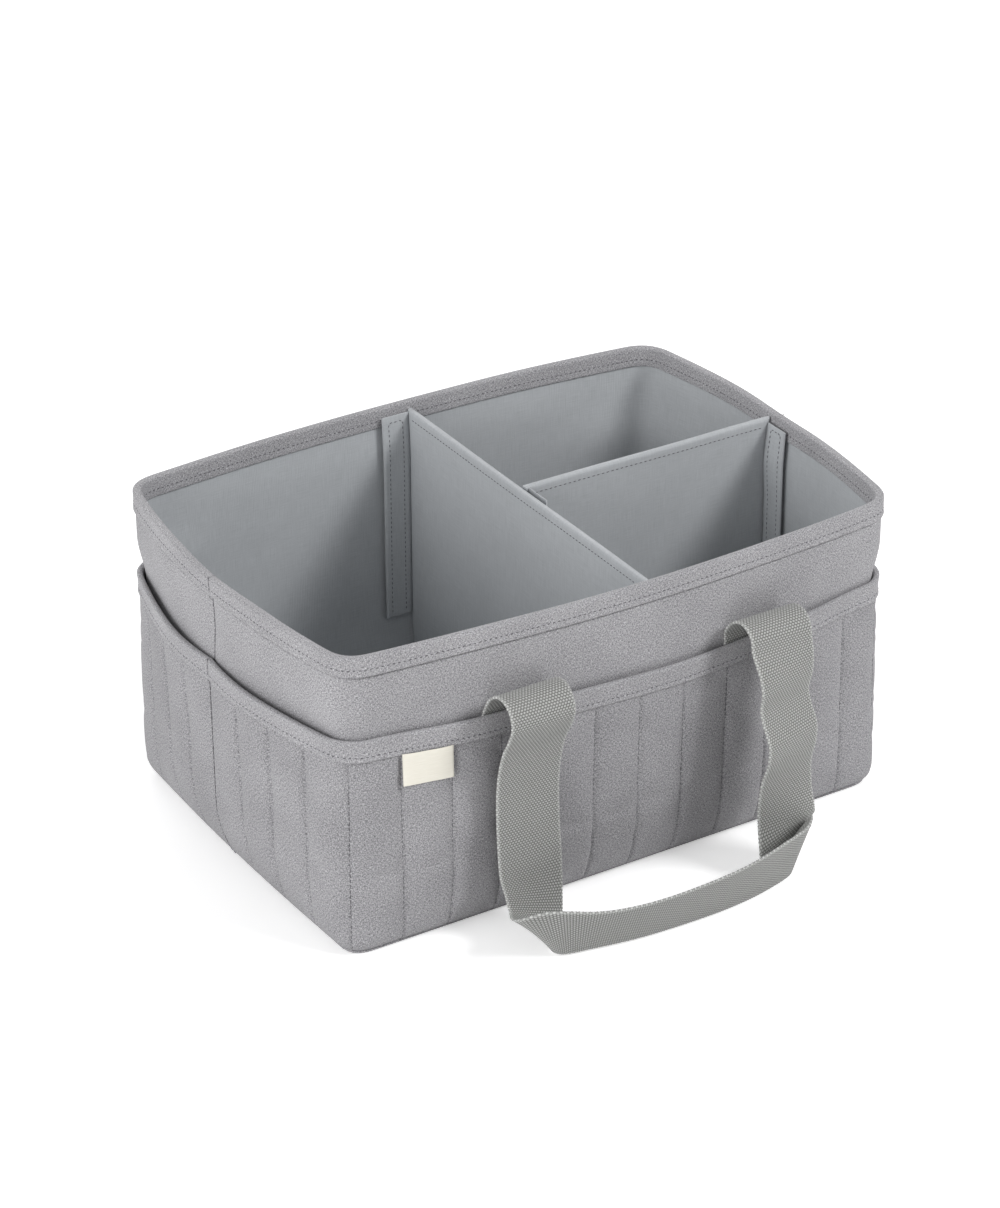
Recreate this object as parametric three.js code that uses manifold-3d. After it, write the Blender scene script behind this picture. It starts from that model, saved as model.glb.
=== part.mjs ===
// Soft storage caddy: a padded fabric box with a quilted pocket skirt round it, two webbing handles
// and two dividers that peel off their tapes and lift out. Millimetres, +Z up, front towards -Y,
// origin on the floor under the middle of the base.
import * as THREE from 'three';
import { mergeVertices } from 'three/addons/utils/BufferGeometryUtils.js';
import Module from 'manifold-3d';

// Box
const rimLength = 336; // squared corner to squared corner, along the front
const rimWidth = 232; // squared corner to squared corner, along a side
const rimHeight = 177;
const cornerReach = 15; // from the squared corner to where the rounding starts
const frontBow = 10.5; // how far the long walls bow out
const sideBow = 12; // how far the short walls bow out
const bowHeight = 45; // height over which the bow builds up from the straight base
const cornerTuck = 4; // how far the hem draws the corners of the box in
const tuckRise = 28; // height above the hem over which they swell out again
const footRadius = 6; // rounding under the shell
const clearance = 0.3; // between pieces that touch

// Wall layers, from the outside in
const shellThickness = 0.9;
const wallFoam = 2.4;
const rimFoam = 0.5; // what is left of it where the rim's binding presses the wall flat
const liningThickness = 0.6;

// Base layers, from the floor up
const basePanel = 1.4;
const boardThickness = 2.5;
const baseFoam = 2.1;

// Bindings over the raw edges
const bindingThickness = 0.7;
const rimBindingOutside = 11;
const rimBindingInside = 11.5;
const hemBinding = 12;

// Pocket skirt
const hemHeight = 128;
const skirtThickness = 1.2; // at the stitched lines
const channelCrown = 1.6; // how far a channel puffs out between its lines
const crownFade = 12; // height over which the puff dies out under the hem
const frontChannels = 12;
const sideChannels = 8;
const footGap = 0.9; // between the skirt and the shell at the foot
const sideGape = 3; // how far a side pocket hangs open

// Label
const labelWidth = 27;
const labelHeight = 18.5;
const labelThickness = 0.5;

// Handles
const strapWidth = 38;
const strapThickness = 1.4;
const handleSpan = 147; // between the middles of the two legs
const anchorLength = 40; // stitched to the shell inside the pocket
const handleReach = 54.5; // how far the hanging strap stands forward of the pocket

// Dividers
const dividerDrop = 4; // of the dividers' top edge, below the rim
const crossPlace = 11; // of the cross divider, to the right of the middle
const longPlace = 6; // of the long divider, behind the middle
const dividerBoard = 2;
const dividerCloth = 0.7;
const flapWidth = 17;
const flapThickness = 0.8;
const tapeThickness = 1;
const tapeWidth = 12;
const tapeLength = 90;
const tapeDrop = 7; // of a tape, below the rim's binding

const colours = {
  melange: 0x9d9c9f,
  skirt: 0x99989b,
  binding: 0x97969a,
  lining: 0x8c8f93,
  webbing: 0x969694,
  tape: 0x85888c,
  label: 0xece8dc,
  foam: 0xe9e7e0,
  board: 0x6f6a64,
};

const wasm = await Module();
wasm.setup();

const halfLength = rimLength / 2;
const halfWidth = rimWidth / 2;
const frontRun = halfLength - cornerReach;
const sideRun = halfWidth - cornerReach;
const roundingLength = 1.62; // of a right-angled quadratic curve, for each unit of its reach
const cornerRun = cornerReach * roundingLength;
const halfGirth = frontRun + cornerRun + sideRun;
const cornerMiddle = (frontRun + cornerRun / 2) / halfGirth;

// Depths of the wall layers, measured outwards from the shell's outer face
const foamOuter = -shellThickness - clearance;
const foamInner = foamOuter - wallFoam;
const liningOuter = foamInner - clearance;
const liningInner = liningOuter - liningThickness;

// Levels of the base layers
const boardLevel = basePanel + clearance;
const foamLevel = boardLevel + boardThickness + clearance;
const floorLevel = foamLevel + baseFoam + clearance;
const footCentre = floorLevel + footRadius + liningOuter;

const wallTop = rimHeight - bindingThickness - clearance;
const dividerTop = rimHeight - dividerDrop;
const tapeHigh = rimHeight - rimBindingInside - tapeDrop;
const tapeLow = tapeHigh - tapeLength;
const hemTuck = hemHeight - hemBinding / 2; // level at which the corners are drawn in most
const pressLevel = hemTuck + tuckRise; // level from which the foam thins towards the rim
const wallRows = [footCentre, bowHeight / 2, bowHeight, hemTuck, pressLevel];

const group = new THREE.Group();

function addPiece(name, geometry, colour, roughness = 0.9) {
  const material = new THREE.MeshStandardMaterial({ color: colour, roughness, metalness: 0 });
  const mesh = new THREE.Mesh(geometry, material);
  mesh.name = name;
  group.add(mesh);
  return mesh;
}

// The back half of the caddy is its front half turned half way round
function turnRound(mesh) {
  mesh.rotation.z = Math.PI;
}

const spread = (from, to, steps) =>
  Array.from({ length: steps + 1 }, (_, i) => from + ((to - from) * i) / steps);

const bowShare = (height) => 1 - (1 - Math.min(height / bowHeight, 1)) ** 2;

// The corners are drawn in by the hem. The straps and the middle of each side stay clear of that.
const { clamp, smoothstep } = THREE.MathUtils;
const strapOutside = (handleSpan + strapWidth) / 2;
const sideFree = sideRun / 4;
function tuckAt(girth, height) {
  const run = Math.abs(girth - 2 * Math.floor((girth + 1) / 2)) * halfGirth;
  const share = smoothstep(run, strapOutside, frontRun) * smoothstep(halfGirth - run, sideFree, sideRun);
  const rise = height < hemTuck ? height / hemTuck : Math.max(0, 1 - (height - hemTuck) / tuckRise);
  return cornerTuck * share * rise;
}

// The foam thins towards the rim, and what lies inside it moves out by as much
function pressAt(outward, height) {
  const share = clamp((foamOuter - outward) / wallFoam, 0, 1);
  const rise = Math.max(0, (height - pressLevel) / (rimHeight - pressLevel));
  return (wallFoam - rimFoam) * share * rise;
}
const laid = (girth, height, outward) => outward + pressAt(outward, height) - tuckAt(girth, height);

// A point of the wall. The girth runs from the left seam (-1) over the middle of the front (0)
// to the right seam (1), and on over the middle of the back (2) to the left seam again (3).
function wallPoint(girth, height, outward) {
  const turns = Math.floor((girth + 1) / 2);
  const place = girth - 2 * turns;
  const run = Math.abs(place) * halfGirth;
  const share = bowShare(height);
  const front = (u) => new THREE.Vector2(u * halfLength, -halfWidth - frontBow * share * (1 - u * u));
  const side = (v) => new THREE.Vector2(halfLength + sideBow * share * (1 - v * v), -v * halfWidth);
  let point;
  let tangent;
  if (run <= frontRun) {
    const u = run / halfLength;
    point = front(u);
    tangent = new THREE.Vector2(halfLength, 2 * frontBow * share * u);
  } else if (run >= frontRun + cornerRun) {
    const v = (halfGirth - run) / halfWidth;
    point = side(v);
    tangent = new THREE.Vector2(2 * sideBow * share * v, halfWidth);
  } else {
    const squareCorner = new THREE.Vector2(halfLength, -halfWidth);
    const start = front(frontRun / halfLength);
    const corner = new THREE.QuadraticBezierCurve(start, squareCorner, side(sideRun / halfWidth));
    const t = (run - frontRun) / cornerRun;
    point = corner.getPoint(t);
    tangent = corner.getTangent(t);
  }
  const normal = new THREE.Vector2(tangent.y, -tangent.x).normalize();
  point.addScaledVector(normal, laid(girth, height, outward));
  const half = turns % 2 === 0 ? 1 : -1;
  return new THREE.Vector3(half * Math.sign(place || 1) * point.x, half * point.y, height);
}

const frontGirth = (x) => x / halfGirth;
const backGirth = (x) => 2 - x / halfGirth;
const rightGirth = (y) => 1 + y / halfGirth;

// Stops round the girth, closer together at the corners
const cornerStart = frontRun / halfGirth;
const cornerEnd = (frontRun + cornerRun) / halfGirth;
const cornerStops = spread(cornerStart, cornerEnd, 6);
const quarterStops = [
  ...spread(0, frontGirth(strapOutside), 3).slice(0, -1),
  ...spread(frontGirth(strapOutside), cornerStart, 5).slice(0, -1),
  ...cornerStops.slice(0, -1),
  ...spread(cornerEnd, 1 - frontGirth(sideFree), 5).slice(0, -1),
  ...spread(1 - frontGirth(sideFree), 1, 2),
];
const halfStops = [...quarterStops.slice(1).map((s) => -s).reverse(), ...quarterStops];
const girthStops = [0, 2, 4].flatMap((start) => halfStops.slice(1).map((s) => s + start));
const leastStep = 1e-4;
const wholeGirth = girthStops.filter((s) => s < 3 + leastStep);
const stopsBetween = (from, to) => [
  from,
  ...girthStops.filter((s) => s > from + leastStep && s < to - leastStep),
  to,
];

function signedVolume(positions, index) {
  const [a, b, c] = [0, 1, 2].map(() => new THREE.Vector3());
  let volume = 0;
  for (let i = 0; i < index.length; i += 3) {
    a.fromArray(positions, 3 * index[i]);
    b.fromArray(positions, 3 * index[i + 1]);
    c.fromArray(positions, 3 * index[i + 2]);
    volume += a.dot(b.cross(c)) / 6;
  }
  return volume;
}

// A closed body through a row of like outlines. The ends are filled with the flat outlines
// given for them, and a row without ends closes on itself.
function loft(outlines, ends) {
  const count = outlines[0].length;
  const positions = outlines.flat().flatMap((p) => p.toArray());
  const index = [];
  const spans = ends ? outlines.length - 1 : outlines.length;
  for (let i = 0; i < spans; i += 1) {
    const here = i * count;
    const next = ((i + 1) % outlines.length) * count;
    for (let j = 0; j < count; j += 1) {
      const k = (j + 1) % count;
      // Split each face along the same slant, going up or down, so that layers lie alike
      const up = outlines[i][j].z <= outlines[i][k].z;
      index.push(here + j, here + k, up ? next + k : next + j);
      index.push(up ? here + j : here + k, next + k, next + j);
    }
  }
  const addEnd = (flat, first, forwards) => {
    const contour = flat.map(([u, v]) => new THREE.Vector2(u, v));
    const turn = Math.sign(THREE.ShapeUtils.area(contour)) * (forwards ? 1 : -1);
    for (const [a, b, c] of THREE.ShapeUtils.triangulateShape(contour, [])) {
      const same = Math.sign(THREE.ShapeUtils.area([contour[a], contour[b], contour[c]])) === turn;
      index.push(first + a, first + (same ? b : c), first + (same ? c : b));
    }
  };
  if (ends) {
    addEnd(ends[0], 0, false);
    addEnd(ends[1], (outlines.length - 1) * count, true);
  }
  if (signedVolume(positions, index) < 0) index.reverse();
  const geometry = new THREE.BufferGeometry();
  geometry.setAttribute('position', new THREE.Float32BufferAttribute(positions, 3));
  geometry.setIndex(index);
  return geometry;
}

// A sheet that follows the wall: its cross-section at each stop is a list of [outward, height]
function wallSheet(stops, sectionAt, closed = false) {
  const flat = stops.map((girth) => sectionAt(girth));
  const place = (section, girth) => section.map(([outward, height]) => wallPoint(girth, height, outward));
  const outlines = flat.map((section, i) => place(section, stops[i]));
  const end = (i) => flat[i].map(([outward, height]) => [laid(stops[i], height, outward), height]);
  return loft(outlines, closed ? null : [end(0), end(flat.length - 1)]);
}

// A point of the rounded foot, an angle down from where the upright wall ends
const footPoint = (outward, angle) => [
  -footRadius + (footRadius + outward) * Math.cos(angle),
  footCentre - (footRadius + outward) * Math.sin(angle),
];

// Cross-section of a layer of even thickness, between two heights
function layerSection(inner, outer, bottom, top) {
  const heights = [bottom, ...wallRows.filter((row) => row > bottom && row < top), top];
  return [...heights.map((h) => [outer, h]), ...heights.reverse().map((h) => [inner, h])];
}

// The same with its foot turned in under the box
function footedSection(inner, outer, top, angles) {
  const heights = [...wallRows, top];
  return [
    ...angles.map((angle) => footPoint(outer, angle)),
    ...heights.map((h) => [outer, h]),
    ...heights.reverse().map((h) => [inner, h]),
    ...[...angles].reverse().map((angle) => footPoint(inner, angle)),
  ];
}

// A flat plate whose edge follows the wall at a depth
function basePlate(outward, level, thickness) {
  const outline = wholeGirth.map((girth) => wallPoint(girth, 0, outward));
  const shape = new THREE.Shape(outline.map((p) => new THREE.Vector2(p.x, p.y)));
  return new THREE.ExtrudeGeometry(shape, { depth: thickness, bevelEnabled: false }).translate(0, 0, level);
}

// Base: an outer panel that stands on the floor, a stiff board, a foam sheet and the lining's floor
const skirtSeam = footGap + skirtThickness;
const skirtFoot = Math.asin((footCentre - boardLevel) / (footRadius + skirtSeam));
const shellFoot = THREE.MathUtils.degToRad(80);
const panelEdge = footPoint(skirtSeam, skirtFoot)[0];
const plateEdge = footPoint(-shellThickness, shellFoot)[0] - clearance;
addPiece('base_outer_panel', basePlate(panelEdge, 0, basePanel), colours.skirt);
addPiece('base_board', basePlate(plateEdge, boardLevel, boardThickness), colours.board);
addPiece('base_foam', basePlate(plateEdge, foamLevel, baseFoam), colours.foam);
addPiece('lining_floor', basePlate(-footRadius - clearance, floorLevel, liningThickness), colours.lining);

// Walls: the outer shell in two halves, foam panels mitred at the corners, and the lining
const shellAngles = [shellFoot, shellFoot / 2];
const shellSection = () => footedSection(-shellThickness, 0, wallTop, shellAngles);
const seamGap = clearance / 2 / halfGirth;
const shellStops = stopsBetween(-1 + seamGap, 1 - seamGap);
addPiece('shell_front', wallSheet(shellStops, shellSection), colours.melange);
turnRound(addPiece('shell_back', wallSheet(shellStops, shellSection), colours.melange));

const foamSection = () => layerSection(foamInner, foamOuter, footCentre, wallTop);
const foamSpans = {
  front: [-cornerMiddle, cornerMiddle],
  right: [cornerMiddle, 2 - cornerMiddle],
  back: [2 - cornerMiddle, 2 + cornerMiddle],
  left: [2 + cornerMiddle, 4 - cornerMiddle],
};
for (const [side, [from, to]] of Object.entries(foamSpans)) {
  const stops = stopsBetween(from + seamGap, to - seamGap);
  addPiece(`wall_foam_${side}`, wallSheet(stops, foamSection), colours.foam);
}

const liningAngles = [Math.PI / 2, Math.PI / 4];
const liningSection = () => footedSection(liningInner, liningOuter, wallTop, liningAngles);
addPiece('lining_walls', wallSheet(wholeGirth, liningSection, true), colours.lining);

// A strip folded over an edge: the depths of its two legs and the heights that they reach down to
function bindingSection(innerAt, outerAt, top, insideDrop, outsideDrop) {
  const [fold, t, gap] = [top - bindingThickness, bindingThickness, clearance];
  const [inLow, outLow] = [top - insideDrop, top - outsideDrop];
  return [
    [outerAt(outLow) + gap + t, outLow],
    [outerAt(fold) + gap + t, fold - t],
    [outerAt(top) + gap, top],
    [innerAt(top) - gap, top],
    [innerAt(fold) - gap - t, fold - t],
    [innerAt(inLow) - gap - t, inLow],
    [innerAt(inLow) - gap, inLow],
    [innerAt(fold) - gap, fold],
    [outerAt(fold) + gap, fold],
    [outerAt(outLow) + gap, outLow],
  ];
}

const rimSection = () =>
  bindingSection(() => liningInner, () => 0, rimHeight, rimBindingInside, rimBindingOutside);
addPiece('rim_binding_front', wallSheet(shellStops, rimSection), colours.binding);
turnRound(addPiece('rim_binding_back', wallSheet(shellStops, rimSection), colours.binding));

// Pocket skirt: stitched channels that puff out, a hem that is tacked close to the shell except
// where the straps pass, and side pockets that hang open
const mouthGap = strapThickness + bindingThickness + 3 * clearance;
const tackGap = bindingThickness + 3 * clearance;
const sideShare = (girth) => Math.max(0, (Math.abs(girth) - cornerMiddle) / (1 - cornerMiddle));

function skirtInner(girth, height) {
  const rise = Math.max(0, (height - footCentre) / (hemHeight - footCentre));
  const tacked = smoothstep(Math.abs(girth) * halfGirth, strapOutside, frontRun);
  const hemGap = mouthGap + tacked * (tackGap - mouthGap);
  const gape = sideGape * Math.sin(Math.PI * sideShare(girth)) ** 2;
  return footGap + rise * (hemGap - footGap) + rise * rise * gape;
}
const skirtFace = (girth, height) => skirtInner(girth, height) + skirtThickness;

function channelPuff(girth) {
  const channels = sideShare(girth) > 0 ? sideChannels / 2 : frontChannels / 2;
  const share = sideShare(girth) > 0 ? sideShare(girth) : Math.abs(girth) / cornerMiddle;
  const across = 2 * ((share * channels) % 1) - 1;
  return channelCrown * (1 - across * across);
}

function skirtSection(girth) {
  const top = hemHeight - bindingThickness - clearance;
  const crownTop = hemHeight - hemBinding - clearance;
  const crownFull = crownTop - crownFade;
  const puff = channelPuff(girth);
  const inner = (h) => skirtInner(girth, h);
  const face = (h) => skirtFace(girth, h) + (h < crownTop ? puff : 0);
  const angles = [skirtFoot, skirtFoot / 2];
  const rows = wallRows.filter((row) => row < crownFull);
  return [
    ...angles.map((angle) => footPoint(skirtSeam, angle)),
    ...[...rows, crownFull].map((h) => [face(h), h]),
    [skirtFace(girth, crownTop), crownTop],
    [skirtFace(girth, top), top],
    ...[...rows, top].reverse().map((h) => [inner(h), h]),
    ...angles.reverse().map((angle) => footPoint(footGap, angle)),
  ];
}

const stepsInChannel = 4;
const channelLines = [
  ...spread(-1, -cornerMiddle, (sideChannels / 2) * stepsInChannel).slice(0, -1),
  ...spread(-cornerMiddle, cornerMiddle, frontChannels * stepsInChannel).slice(0, -1),
  ...spread(cornerMiddle, 1, (sideChannels / 2) * stepsInChannel),
];
const cornerLines = cornerStops.flatMap((s) => [s, -s]);
const skirtStops = [-1 + seamGap, ...channelLines.slice(1, -1), ...cornerLines, 1 - seamGap]
  .sort((a, b) => a - b)
  .filter((s, i, all) => i === 0 || s - all[i - 1] > 10 * leastStep);
addPiece('pocket_skirt_front', wallSheet(skirtStops, skirtSection), colours.skirt);
turnRound(addPiece('pocket_skirt_back', wallSheet(skirtStops, skirtSection), colours.skirt));

function hemSection(girth) {
  const inner = (h) => skirtInner(girth, h);
  const outer = (h) => skirtFace(girth, h);
  return bindingSection(inner, outer, hemHeight, hemBinding, hemBinding);
}
addPiece('pocket_binding_front', wallSheet(skirtStops, hemSection), colours.binding);
turnRound(addPiece('pocket_binding_back', wallSheet(skirtStops, hemSection), colours.binding));

// Label: a bare tab sewn under the front hem, over the second channel from the left corner
const labelMiddle = -cornerMiddle * (1 - 3 / frontChannels);
const labelReach = labelWidth / 2 / halfGirth;
const labelTop = hemHeight - hemBinding - clearance;
function labelSection(girth) {
  const back = (h) => skirtFace(girth, h) + channelCrown + clearance;
  const low = labelTop - labelHeight;
  return [
    [back(low) + labelThickness, low],
    [back(labelTop) + labelThickness, labelTop],
    [back(labelTop), labelTop],
    [back(low), low],
  ];
}
const labelStops = spread(labelMiddle - labelReach, labelMiddle + labelReach, 4);
addPiece('label', wallSheet(labelStops, labelSection), colours.label);

// Handles. A strap is stitched to the shell inside the pocket, rolls forward over the hem, hangs
// down, folds over at each lower corner and runs along the floor. A station is a point of its
// inner edge and the direction across it from the outer edge to the inner one.
const legInside = handleSpan / 2 - strapWidth / 2;
const mouthMiddle = clearance + strapThickness / 2;
const mouthLevel = hemHeight - bindingThickness - clearance;
const legGirth = frontGirth(handleSpan / 2);
const mouth = wallPoint(legGirth, mouthLevel, mouthMiddle);
const floorEdge = strapThickness; // height of the edge that lies on the floor
const forward = (share) => mouth.y - share * handleReach;

const station = (x, y, z, across) => ({
  inner: new THREE.Vector3(x, y, z),
  across: new THREE.Vector3(...across).normalize(),
});

// Over the hem: forward of the pocket mouth and above the hem, as shares of the reach
const overHem = [[0.022, 0.092], [0.092, 0.2], [0.22, 0.294], [0.367, 0.294], [0.468, 0.2], [0.495, 0.073]];

function mouthStation(side) {
  const edge = (x) => wallPoint(frontGirth(x), mouthLevel, mouthMiddle);
  const inner = edge(side * legInside);
  const across = inner.clone().sub(edge(side * (legInside + strapWidth)));
  return station(inner.x, inner.y, inner.z, across.toArray());
}
const rollStations = (side) => [
  mouthStation(side),
  ...overHem.map(([ahead, above]) =>
    station(side * legInside, forward(ahead), hemHeight + above * handleReach, [-side, 0, 0])),
];

// Down the left leg: forward of the mouth, and the share of the hem's height
const leftLeg = [
  [0.431, 0.96], [0.339, 0.89], [0.257, 0.78], [0.22, 0.66], [0.229, 0.48], [0.266, 0.32],
];
// Up the right leg, which waves: the same, and how far the strap is turned
const rightLeg = [
  [0.679, 0.24, 0.04], [0.67, 0.35, 0.12], [0.716, 0.47, 0.2], [0.807, 0.57, 0.24], [0.817, 0.66, 0.24],
  [0.734, 0.72, 0.24], [0.661, 0.79, 0.24], [0.679, 0.88, 0.2], [0.624, 0.95, 0.12],
];
// Round the lower corners: places along the span, forward of the mouth, above the floor edge
const leftCorner = [
  [-1, 0.284, 0.349, [38, 2, -10]], [-1.06, 0.358, 0.055, [37, 5, -19.5]],
  [-1.21, 0.486, 0.009, [30, 7, -24]], [-1.34, 0.651, 0, [20, 8, -30.5]],
  [-1.3, 0.789, 0, [13, 9.5, -33.5]], [-1.03, 0.881, 0, [7, 16.5, -32.5]],
];
const floorBand = [
  [-0.59, 0.963, 0, [4, 18, -32.5]], [0, 1, 0, [0, 17, -33]], [0.51, 0.99, 0, [-1.5, 15, -34]],
];
const rightCorner = [
  [0.95, 0.927, 0, [-2.5, 12.5, -35]], [1.31, 0.807, 0, [-1.5, 12, -34]],
  [1.33, 0.716, 0, [-6, 10, -30]], [1.07, 0.697, 0.009, [-28, 0, -24]],
  [1.03, 0.716, 0.073, [-36, -4, -16]], [1, 0.716, 0.312, [-38, -4, -9]],
];

const onFloor = ([place, ahead, above, across]) =>
  station(place * legInside, forward(ahead), floorEdge + above * handleReach, across);
const strapStations = [
  ...rollStations(-1),
  ...leftLeg.map(([ahead, share]) => station(-legInside, forward(ahead), share * hemHeight, [1, 0, 0])),
  ...[...leftCorner, ...floorBand, ...rightCorner].map(onFloor),
  ...rightLeg.map(([ahead, share, turn]) =>
    station(legInside, forward(ahead), share * hemHeight, [-1, -turn, 0])),
  ...rollStations(1).reverse(),
];

const innerEdge = new THREE.CatmullRomCurve3(strapStations.map((s) => s.inner));
const acrossCurve = new THREE.CatmullRomCurve3(strapStations.map((s) => s.across));
const lastStation = strapStations.length - 1;

// Cross-section of the strap at a station number, moved on a little where two pieces meet
function strapSection(number, shift = 0) {
  const t = number / lastStation;
  const along = innerEdge.getTangent(t);
  const across = acrossCurve.getPoint(t).normalize();
  const normal = along.clone().cross(across).normalize().multiplyScalar(strapThickness / 2);
  const near = innerEdge.getPoint(t).addScaledVector(along, shift);
  const far = near.clone().addScaledVector(across, -strapWidth);
  return [
    far.clone().add(normal),
    near.clone().add(normal),
    near.clone().sub(normal),
    far.clone().sub(normal),
  ];
}
const strapEnd = [[0, 1], [1, 1], [1, 0], [0, 0]];
const stepsBetweenStations = 2;

function strapPiece(from, to, shiftFirst, shiftLast) {
  const numbers = spread(from, to, (to - from) * stepsBetweenStations);
  const outlines = numbers.map((number) => strapSection(number));
  outlines[0] = strapSection(from, shiftFirst);
  outlines[outlines.length - 1] = strapSection(to, shiftLast);
  return loft(outlines, [strapEnd, strapEnd]);
}

const rollEnd = overHem.length;
function anchorSection() {
  const top = mouthLevel - clearance;
  return layerSection(clearance, clearance + strapThickness, top - anchorLength, top);
}
for (const place of ['front', 'back']) {
  const loopEnd = lastStation - rollEnd;
  const pieces = [
    addPiece(`${place}_handle_loop`, strapPiece(rollEnd, loopEnd, clearance, -clearance), colours.webbing),
    addPiece(`${place}_handle_left_roll`, strapPiece(0, rollEnd, 0, 0), colours.webbing),
    addPiece(`${place}_handle_right_roll`, strapPiece(loopEnd, lastStation, 0, 0), colours.webbing),
  ];
  for (const [name, side] of [['left', -1], ['right', 1]]) {
    const ends = [legInside, legInside + strapWidth].map((x) => frontGirth(side * x)).sort((a, b) => a - b);
    const anchor = wallSheet(spread(ends[0], ends[1], 3), anchorSection);
    pieces.push(addPiece(`${place}_handle_${name}_anchor`, anchor, colours.webbing));
  }
  if (place === 'back') pieces.forEach(turnRound);
}

// Dividers: a board in a cloth cover that is open at the bottom, with a flap at each end whose
// hook tape grips a loop tape on the wall
const dividerBottom = floorLevel + liningThickness + clearance;
const coverThickness = dividerBoard + 2 * (dividerCloth + clearance);
const tapeOuter = liningInner - clearance;
const hookOuter = tapeOuter - tapeThickness - clearance;
const flapOuter = hookOuter - tapeThickness - clearance;
const dividerEnd = hookOuter;
const boardInset = dividerCloth + clearance;
const dividerRows = [dividerBottom, ...wallRows.filter((row) => row > dividerBottom), dividerTop];

function solidOf(geometry) {
  const bare = geometry.clone();
  bare.deleteAttribute('normal');
  bare.deleteAttribute('uv');
  const merged = mergeVertices(bare);
  return new wasm.Manifold(new wasm.Mesh({
    numProp: 3,
    vertProperties: new Float32Array(merged.attributes.position.array),
    triVerts: new Uint32Array(merged.index.array),
  }));
}

function geometryOf(solid) {
  const { vertProperties, triVerts } = solid.getMesh();
  const geometry = new THREE.BufferGeometry();
  geometry.setAttribute('position', new THREE.Float32BufferAttribute(vertProperties, 3));
  geometry.setIndex(new THREE.BufferAttribute(triVerts, 1));
  return geometry;
}

// A panel between two edges, each a place along it for every row, set upright by a turn of axes
function uprightPanel(rows, lowEdge, highEdge, thickness, axes) {
  const up = rows.map((h) => new THREE.Vector2(highEdge(h), h));
  const down = rows.map((h) => new THREE.Vector2(lowEdge(h), h)).reverse();
  const shape = new THREE.Shape([...up, ...down]);
  const geometry = new THREE.ExtrudeGeometry(shape, { depth: thickness, bevelEnabled: false });
  return geometry.translate(0, 0, -thickness / 2).applyMatrix4(axes);
}

function divider(name, lowEdge, highEdge, axes) {
  const under = dividerBottom - coverThickness;
  const boardTop = dividerTop - boardInset;
  const boardRows = [...dividerRows.slice(0, -1), boardTop];
  const hollowRows = [under, ...dividerRows.slice(1, -1), dividerTop - dividerCloth];
  const outer = uprightPanel(dividerRows, lowEdge, highEdge, coverThickness, axes);
  const inside = (inset) => [(h) => lowEdge(h) + inset, (h) => highEdge(h) - inset];
  const hollow = uprightPanel(hollowRows, ...inside(dividerCloth), coverThickness - 2 * dividerCloth, axes);
  const cover = geometryOf(solidOf(outer).subtract(solidOf(hollow)));
  addPiece(`${name}_cover`, cover, colours.lining);
  const board = uprightPanel(boardRows, ...inside(boardInset), dividerBoard, axes);
  addPiece(`${name}_board`, board, colours.board);
}

const [axisX, axisY, axisZ] = [[1, 0, 0], [0, 1, 0], [0, 0, 1]].map((v) => new THREE.Vector3(...v));
const crossAxes = new THREE.Matrix4().makeBasis(axisY, axisZ, axisX).setPosition(crossPlace, 0, 0);
const toFront = axisY.clone().negate();
const longAxes = new THREE.Matrix4().makeBasis(axisX, axisZ, toFront).setPosition(0, longPlace, 0);
const crossFace = crossPlace + coverThickness / 2;
const longStart = crossFace + 2 * clearance;

divider(
  'cross_divider',
  (h) => wallPoint(frontGirth(crossPlace), h, dividerEnd).y,
  (h) => wallPoint(backGirth(crossPlace), h, dividerEnd).y,
  crossAxes,
);
divider(
  'long_divider',
  () => longStart,
  (h) => wallPoint(rightGirth(longPlace), h, dividerEnd).x,
  longAxes,
);

// Flaps and tapes against a wall, between two places on its girth
const flapBottom = bowHeight;
const flapTop = dividerTop - boardInset;
function wallFastening(names, from, to) {
  const middle = (from + to) / 2;
  const reach = tapeWidth / 2 / halfGirth;
  const tapeStops = spread(middle - reach, middle + reach, 2);
  const sheet = (stops, outer, thickness, low, high) =>
    wallSheet(stops, () => layerSection(outer - thickness, outer, low, high));
  const flap = sheet(spread(from, to, 2), flapOuter, flapThickness, flapBottom, flapTop);
  addPiece(names.flap, flap, colours.lining);
  addPiece(names.hook, sheet(tapeStops, hookOuter, tapeThickness, tapeLow, tapeHigh), colours.tape);
  addPiece(names.loop, sheet(tapeStops, tapeOuter, tapeThickness, tapeLow, tapeHigh), colours.tape);
}

const flapNear = coverThickness / 2 + clearance;
const flapFar = flapNear + flapWidth;
const fastening = (owner, wall) => ({
  flap: `${owner}_${wall}_flap`,
  hook: `${owner}_${wall}_hook_tape`,
  loop: `${wall}_wall_loop_tape`,
});
wallFastening(
  fastening('cross_divider', 'front'),
  frontGirth(crossPlace - flapFar),
  frontGirth(crossPlace - flapNear),
);
wallFastening(
  fastening('cross_divider', 'back'),
  backGirth(crossPlace - flapNear),
  backGirth(crossPlace - flapFar),
);
wallFastening(
  fastening('long_divider', 'right'),
  rightGirth(longPlace - flapFar),
  rightGirth(longPlace - flapNear),
);

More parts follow.
